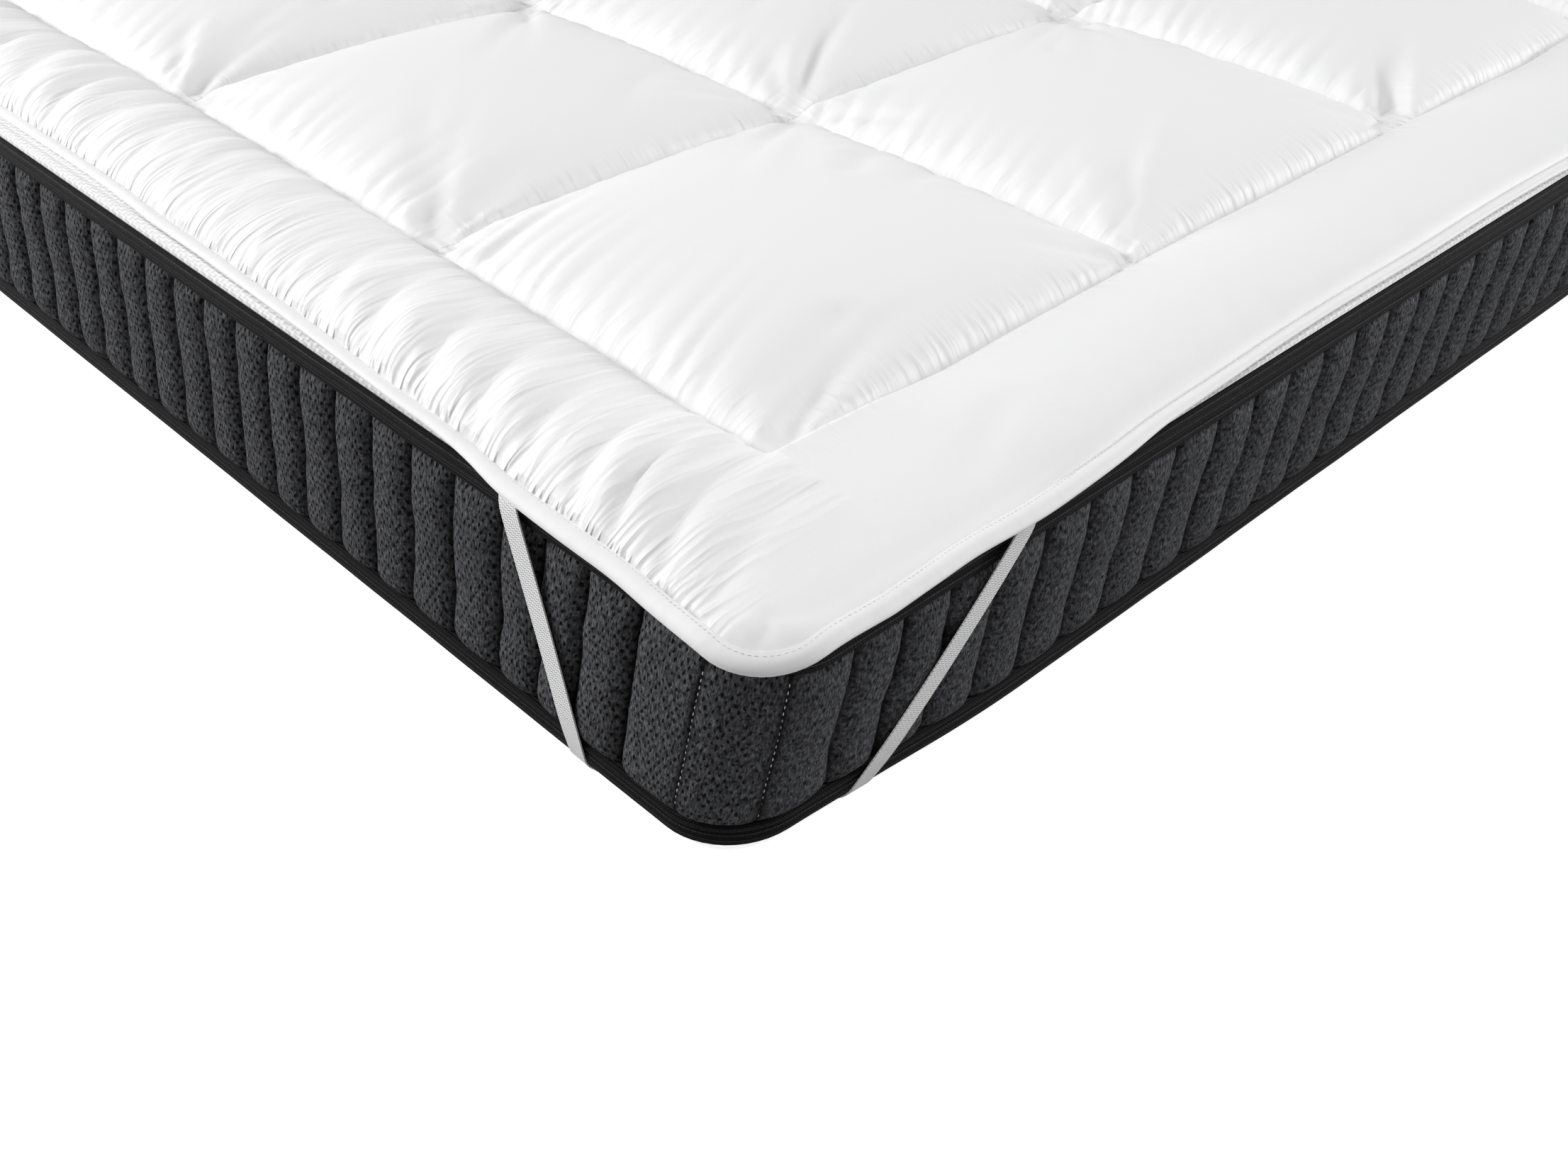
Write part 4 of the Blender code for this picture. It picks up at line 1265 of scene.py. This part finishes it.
def short_side(distance):
    """1 on the short sides, 0 on the long sides, and between them round the corners."""
    _, normal = outline(distance, *MATTRESS)
    return normal[..., 1] ** 2


def by_side(values, distance):
    """A value on the long sides and one on the short sides, blended round the corners."""
    return values[0] + (values[1] - values[0]) * short_side(distance)


class MakeSideBand(bpy.types.Operator):
    """Makes the ribbed side band of the mattress and the stitches of its seams"""

    bl_idname = "bedding.make_side_band"
    bl_label = "Ribbed side band"

    def execute(self, context):
        sizes = context.scene.mattress_sizes
        random = np.random.default_rng(SEED + 2)
        seams, beside_corner = rib_seams()
        total = len(seams)
        phase = random.uniform(0, 2 * math.pi, total + 1)
        sway = random.uniform(0.0022, 0.0052, total + 1)
        sway[:-1] *= np.where(beside_corner, 0.3, 1.0)
        swell = random.uniform(-0.0006, 0.0008, total + 1)
        for values in (phase, sway, swell):
            values[-1] = values[0]
        depth = np.where(beside_corner, sizes.corner_seam_depth, sizes.rib_depth)
        depth = np.append(depth, depth[0])
        ends = np.append(seams, seams[0] + ROUND_MATTRESS)

        share = np.tile(RIB_SHARES, total)
        rib = np.repeat(np.arange(total), len(RIB_SHARES))
        share, rib = np.append(share, 1.0), np.append(rib, total - 1)
        start, end = ends[rib], ends[rib + 1]
        distance = start + (end - start) * share

        rows = np.linspace(0.0, 1.0, 45)
        rows = rows - 0.05 * np.sin(2 * math.pi * rows)
        foot, head = by_side(RIB_FEET, distance), by_side(RIB_HEADS, distance)
        height = foot + (head - foot) * rows[:, None]
        swollen, out = rib_swell(rows[:, None])
        edge_depth = (depth[rib] * (1 - share) + depth[rib + 1] * share)[None, :]
        bulge = np.clip(1 - np.abs(2 * share - 1) ** 2.6, 0, 1)[None, :] ** 0.5
        out = out + swell[rib][None, :] * swollen
        out = out - edge_depth * swollen * (1 - bulge)
        grain = random.normal(0, 1, out.shape)
        for _ in range(5):
            grain = (grain + np.roll(grain, 1, 0) + np.roll(grain, -1, 0)
                     + np.roll(grain, 1, 1) + np.roll(grain, -1, 1)) / 5
        out = out + 0.0016 * grain * swollen
        stray = (seam_sway(height, phase[rib], sway[rib]) * (1 - share)
                 + seam_sway(height, phase[rib + 1], sway[rib + 1]) * share)
        place = distance[None, :] + stray * np.sin(math.pi * rows[:, None])
        out[:, -1] = out[:, 0]
        shape = on_side(place, out, height)
        piece, column, row = lay_grid("rib_band", distance, rows * 0.16, shape)
        attribute = piece.data.attributes.new("dimpled", "FLOAT", "POINT")
        middles = np.array(corner_middles())
        long_side = np.zeros(len(distance))
        for first, last in ((middles[1], middles[2]), (middles[3], middles[4])):
            inside = np.minimum(distance - first, last - distance)
            inside = np.maximum(inside, np.minimum(distance + ROUND_MATTRESS - first,
                                                   last - distance - ROUND_MATTRESS))
            past_first = distance - ROUND_MATTRESS - first
            inside = np.maximum(inside, np.minimum(past_first, last - past_first - first))
            long_side = np.maximum(long_side, smooth_step(inside / 0.05 + 0.5))
        dimpled = 0.25 + 0.75 * long_side
        attribute.data.foreach_set("value", dimpled[column].astype(np.float32))
        # Painted shade beside each rib seam, read by the knit's colour.
        attribute = piece.data.attributes.new("painted_seam_shade", "FLOAT", "POINT")
        painted_seam_shade = np.exp(-(np.minimum(share, 1 - share) / 0.055) ** 1.5)
        attribute.data.foreach_set("value", painted_seam_shade[column].astype(np.float32))
        weld(piece)
        fill_holes(piece)
        finish_piece(piece, side_knit_material(sizes.knit),
                     ("mattress_border",), angle=60)
        self.sew_ribs(seams, depth, phase, sway)
        return {"FINISHED"}

    def sew_ribs(self, seams, depth, phase, sway):
        rows = []
        for number, seam in enumerate(seams):
            rows.append(rib_seam_row(seam, depth[number], phase[number], sway[number]))
        thread = thread_material("rib_thread", (0.75, 0.75, 0.75))
        sew("rib_stitches", rows, 0.0034, 0.0010, thread)


def rib_seam_row(seam, depth, phase, sway):
    """The stitches of one rib seam: its place function and their heights."""
    foot, head = by_side(RIB_FEET, np.array(seam)), by_side(RIB_HEADS, np.array(seam))

    def place(height, lift):
        rows = (height - foot) / (head - foot)
        swollen, out = rib_swell(rows)
        out = out - depth * swollen + lift
        stray = seam_sway(height, phase, sway) * np.sin(math.pi * rows)
        return on_side(seam + stray, out, height)
    return place, np.arange(0.036, 0.166, 0.0062)


# Panels and tapes

TOP_SECTION = (  # distance outwards and height, from the seam under the tape to the top
    (-0.0055, 0.1745), (-0.0055, 0.1800), (-0.0055, 0.1900), (-0.0058, 0.1940),
    (-0.0072, 0.1968), (-0.0095, 0.1988), (-0.0125, 0.1997), (-0.0150, 0.1994),
    (-0.0168, 0.1989), (-0.0182, 0.1989), (-0.0200, 0.1995), (-0.0240, 0.2000),
    (-0.0320, 0.2000), (-0.0440, 0.2000), (-0.0600, 0.2000),
)

TOP_TAPE_SECTION = (
    (-0.0030, 0.1728), (-0.0012, 0.1716), (0.0006, 0.1712), (0.0016, 0.1720), (0.0021, 0.1745),
    (0.0022, 0.1780), (0.0019, 0.1815), (0.0014, 0.1838), (0.0018, 0.1856), (0.0025, 0.1874),
    (0.0027, 0.1900), (0.0024, 0.1930), (0.0017, 0.1960), (0.0006, 0.1986), (-0.0010, 0.2004),
    (-0.0028, 0.2012), (-0.0044, 0.2008), (-0.0052, 0.1992), (-0.0046, 0.1900), (-0.0038, 0.1800),
)

BOTTOM_TAPE_SECTION = (
    (-0.0030, 0.0280), (-0.0012, 0.0286), (0.0006, 0.0287), (0.0018, 0.0280), (0.0023, 0.0262),
    (0.0022, 0.0235), (0.0017, 0.0205), (0.0014, 0.0188), (0.0019, 0.0170), (0.0025, 0.0150),
    (0.0026, 0.0120), (0.0022, 0.0085), (0.0013, 0.0052), (0.0000, 0.0030), (-0.0020, 0.0022),
    (-0.0040, 0.0028), (-0.0052, 0.0048), (-0.0046, 0.0110), (-0.0038, 0.0200),
)


SHORT_PANEL_SWELL = 0.0030  # how much further out the panel's edge is there


def round_stations(pitch):
    """Distances round the mattress, closer together round the corners."""
    middles = corner_middles()
    quarter = CORNER_RADIUS * math.pi / 2
    places = []
    for start, end in zip(middles, middles[1:]):
        straight = end - start - quarter
        steps = max(int(straight / pitch), 2)
        places.append(start + np.linspace(0, quarter / 2, 7)[:-1])
        places.append(start + quarter / 2 + straight * np.arange(steps) / steps)
        places.append(end - quarter / 2 + np.linspace(0, quarter / 2, 7)[:-1])
    places.append([middles[-1]])
    return np.concatenate(places)


def section_widths(section):
    return np.concatenate(([0.0], np.cumsum(np.linalg.norm(np.diff(section, axis=0), axis=1))))


class MakePanels(bpy.types.Operator):
    """Makes the mattress's top panel and finishes its bottom panel"""

    bl_idname = "bedding.make_panels"
    bl_label = "Panels"

    def execute(self, context):
        random = np.random.default_rng(SEED + 3)
        distance = round_stations(0.012)
        section = np.array(TOP_SECTION)
        out, height = section[:, 0][:, None], section[:, 1][:, None]
        ripple = 0.0004 * wander(distance, 0.03, random, 1)[None, :]
        ripple = ripple * ((section[:, 0] < -0.008) & (section[:, 0] > -0.030))[:, None]
        ripple[:, -1] = ripple[:, 0]
        lip = smooth_step((height - 0.1930) / 0.0012) * smooth_step((0.1996 - height) / 0.0012)
        out = out + SHORT_PANEL_SWELL * lip * short_side(distance)[None, :]
        rise = by_side(TOP_RAISES, distance)[None, :] * smooth_step((0.1850 - height) / 0.0105)
        shape = on_side(distance[None, :], out, height + rise - np.abs(ripple))
        piece, _, _ = lay_grid("panel_edge", distance, section_widths(section), shape)
        weld(piece)
        fill_holes(piece)
        colour = context.scene.mattress_sizes.panel
        material = panel_knit_material(colour)
        finish_piece(piece, material, ("mattress_top_panel",))
        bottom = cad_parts["mattress_bottom_panel"]
        bottom.data.materials.clear()
        bottom.data.materials.append(underside_material(colour))
        return {"FINISHED"}


def underside_material(colour):
    """The plain cloth under the mattress, which has no UV map."""
    material, tree, shader, _ = cloth_material("underside_cloth", colour, 0.9, 0.1, 0.5, 0.3)
    place = put(tree, "ShaderNodeTexCoord").outputs["Object"]
    weave = use_weave(tree, place, 0.004, 0.004)
    yarn = use_group(tree, "Heather flecks", flecks_group, {"Vector": place, "Scale": 400.0})
    height = maths(tree, "MULTIPLY_ADD", yarn.outputs["Flecks"], 0.5, weave)
    bump(tree, shader, height, 0.0005)
    # Painted shade: darker in the grooves between the threads.
    tint(tree, shader, weave, scaled(colour, 0.88), scaled(colour, 0.97))
    return material


class MakeTapes(bpy.types.Operator):
    """Makes the woven tapes over the mattress's edges"""

    bl_idname = "bedding.make_tapes"
    bl_label = "Edge tapes"

    def execute(self, context):
        random = np.random.default_rng(SEED + 4)
        distance = round_stations(0.008)
        material = tape_material(context.scene.mattress_sizes.tape)
        for name, node, rows in (("top_tape", "mattress_top_tape", TOP_TAPE_SECTION),
                                 ("bottom_tape", "mattress_bottom_tape", BOTTOM_TAPE_SECTION)):
            section = np.array(rows + rows[:1])
            face = np.clip((section[:, 0] + 0.002) / 0.003, 0, 1)[:, None]
            lift = 0.0007 * wander(distance, 0.045, random, 1)[None, :] * face
            ease = 0.0005 * wander(distance, 0.030, random, 1)[None, :] * face
            lift[:, -1], ease[:, -1] = lift[:, 0], ease[:, 0]
            height = section[:, 1][:, None] + lift
            if name == "top_tape":
                drop = by_side(TOP_DROPS, distance)[None, :]
                rise = by_side(TOP_RAISES, distance)[None, :]
                height = (height - drop * smooth_step((height - 0.1820) / 0.0190)
                          + rise * smooth_step((0.1850 - height) / 0.0135))
            else:
                drop = by_side(BOTTOM_DROPS, distance)[None, :]
                height = height - drop * smooth_step((height - 0.0080) / 0.0200)
            shape = on_side(distance[None, :], section[:, 0][:, None] + ease, height)
            piece, _, _ = lay_grid(name, distance, section_widths(section), shape)
            weld(piece)
            finish_piece(piece, material, (node,))
        return {"FINISHED"}


# Stage

def camera_axes(yaw, pitch, roll):
    """A camera's right, up and backward directions. Yaw turns it from +Y towards +X, pitch
    tips it down and roll leans it to the left."""
    ahead = Vector((math.sin(yaw) * math.cos(pitch), math.cos(yaw) * math.cos(pitch),
                    -math.sin(pitch)))
    right = Vector((math.cos(yaw), -math.sin(yaw), 0.0))
    up = right.cross(ahead)
    turned = right * math.cos(roll) + up * math.sin(roll)
    risen = up * math.cos(roll) - right * math.sin(roll)
    return turned, risen, -ahead


class MakeStage(bpy.types.Operator):
    """Makes the camera, the pale floor and the soft studio light"""

    bl_idname = "bedding.make_stage"
    bl_label = "Stage"

    def execute(self, context):
        sizes = context.scene.stage_sizes
        self.add_camera(context, sizes)
        self.add_floor()
        self.add_lights(context, sizes)
        context.scene.view_settings.view_transform = "Standard"
        return {"FINISHED"}

    def add_camera(self, context, sizes):
        data = bpy.data.cameras.new("camera")
        data.sensor_width = 36.0
        data.lens = sizes.lens
        data.clip_start, data.clip_end = 0.05, 60.0
        camera = bpy.data.objects.new("camera", data)
        axes = camera_axes(math.radians(45.52), math.radians(38.10), math.radians(1.68))
        turn = Matrix(axes).transposed().to_4x4()
        camera.matrix_world = Matrix.Translation(Vector(sizes.camera_place)) @ turn
        context.collection.objects.link(camera)
        context.scene.camera = camera

    def add_floor(self):
        deselect_all()
        bpy.ops.mesh.primitive_plane_add(size=30.0, location=(0, 0, -0.0004))
        floor = bpy.context.object
        floor.name = "studio_floor"
        material = bpy.data.materials.new("studio_floor")
        material.use_nodes = True
        shader = material.node_tree.nodes["Principled BSDF"]
        shader.inputs["Base Color"].default_value = (0.50, 0.50, 0.50, 1.0)
        shader.inputs["Roughness"].default_value = 0.9
        shader.inputs["Specular IOR Level"].default_value = 0.1
        shader.inputs["Emission Color"].default_value = (1.0, 1.0, 1.0, 1.0)
        seen = put(material.node_tree, "ShaderNodeLightPath").outputs["Is Camera Ray"]
        glow = maths(material.node_tree, "MULTIPLY_ADD", seen, 0.80, 0.06)
        material.node_tree.links.new(glow, shader.inputs["Emission Strength"])
        floor.data.materials.append(material)

    def add_lights(self, context, sizes):
        world = bpy.data.worlds.new("studio")
        world.use_nodes = True
        back = world.node_tree.nodes["Background"]
        back.inputs["Color"].default_value = (1.0, 1.0, 1.0, 1.0)
        back.inputs["Strength"].default_value = sizes.fill_light
        context.scene.world = world
        for name, place, size, power in (
                ("far_left", (-3.4, 3.4, 2.5), 1.6, sizes.key_light),
                ("low_left", (-2.4, 4.2, 0.9), 1.2, sizes.key_light * 0.44),
                ("low_right", (4.2, -2.8, 0.9), 1.2, sizes.key_light * 0.66),
                ("overhead", (-0.2, -1.9, 3.2), 1.6, sizes.key_light * 0.25)):
            data = bpy.data.lights.new(name, "AREA")
            data.shape = "DISK"
            data.size = size
            data.energy = power
            light = bpy.data.objects.new(name, data)
            light.location = place
            aim = Vector((-0.2, -0.2, 0.2)) - Vector(place)
            light.rotation_euler = aim.to_track_quat("-Z", "Y").to_euler()
            context.collection.objects.link(light)


class BeddingPanel(bpy.types.Panel):
    """Lists the pieces in the 3D view's sidebar"""

    bl_idname = "VIEW3D_PT_bedding"
    bl_label = "Mattress topper"
    bl_space_type = "VIEW_3D"
    bl_region_type = "UI"
    bl_category = "Bedding"

    def draw(self, context):
        layout = self.layout
        for group in (context.scene.quilt_sizes, context.scene.mattress_sizes,
                      context.scene.stage_sizes):
            box = layout.box()
            for name in group.__annotations__:
                box.prop(group, name)
        for operator in OPERATORS:
            layout.operator(operator.bl_idname)


OPERATORS = (MakeStage, MakeQuilt, MakeBinding, MakeStraps, MakeSideBand, MakePanels, MakeTapes)
CLASSES = (QuiltSizes, MattressSizes, StageSizes, *OPERATORS, BeddingPanel)


def register():
    for cls in CLASSES:
        bpy.utils.register_class(cls)
    bpy.types.Scene.quilt_sizes = bpy.props.PointerProperty(type=QuiltSizes)
    bpy.types.Scene.mattress_sizes = bpy.props.PointerProperty(type=MattressSizes)
    bpy.types.Scene.stage_sizes = bpy.props.PointerProperty(type=StageSizes)


def unregister():
    del bpy.types.Scene.stage_sizes
    del bpy.types.Scene.mattress_sizes
    del bpy.types.Scene.quilt_sizes
    for cls in reversed(CLASSES):
        bpy.utils.unregister_class(cls)


def main():
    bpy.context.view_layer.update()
    register()
    bpy.ops.bedding.make_stage()
    bpy.ops.bedding.make_quilt()
    bpy.ops.bedding.make_binding()
    bpy.ops.bedding.make_straps()
    bpy.ops.bedding.make_side_band()
    bpy.ops.bedding.make_panels()
    bpy.ops.bedding.make_tapes()


if __name__ == "__main__":
    main()
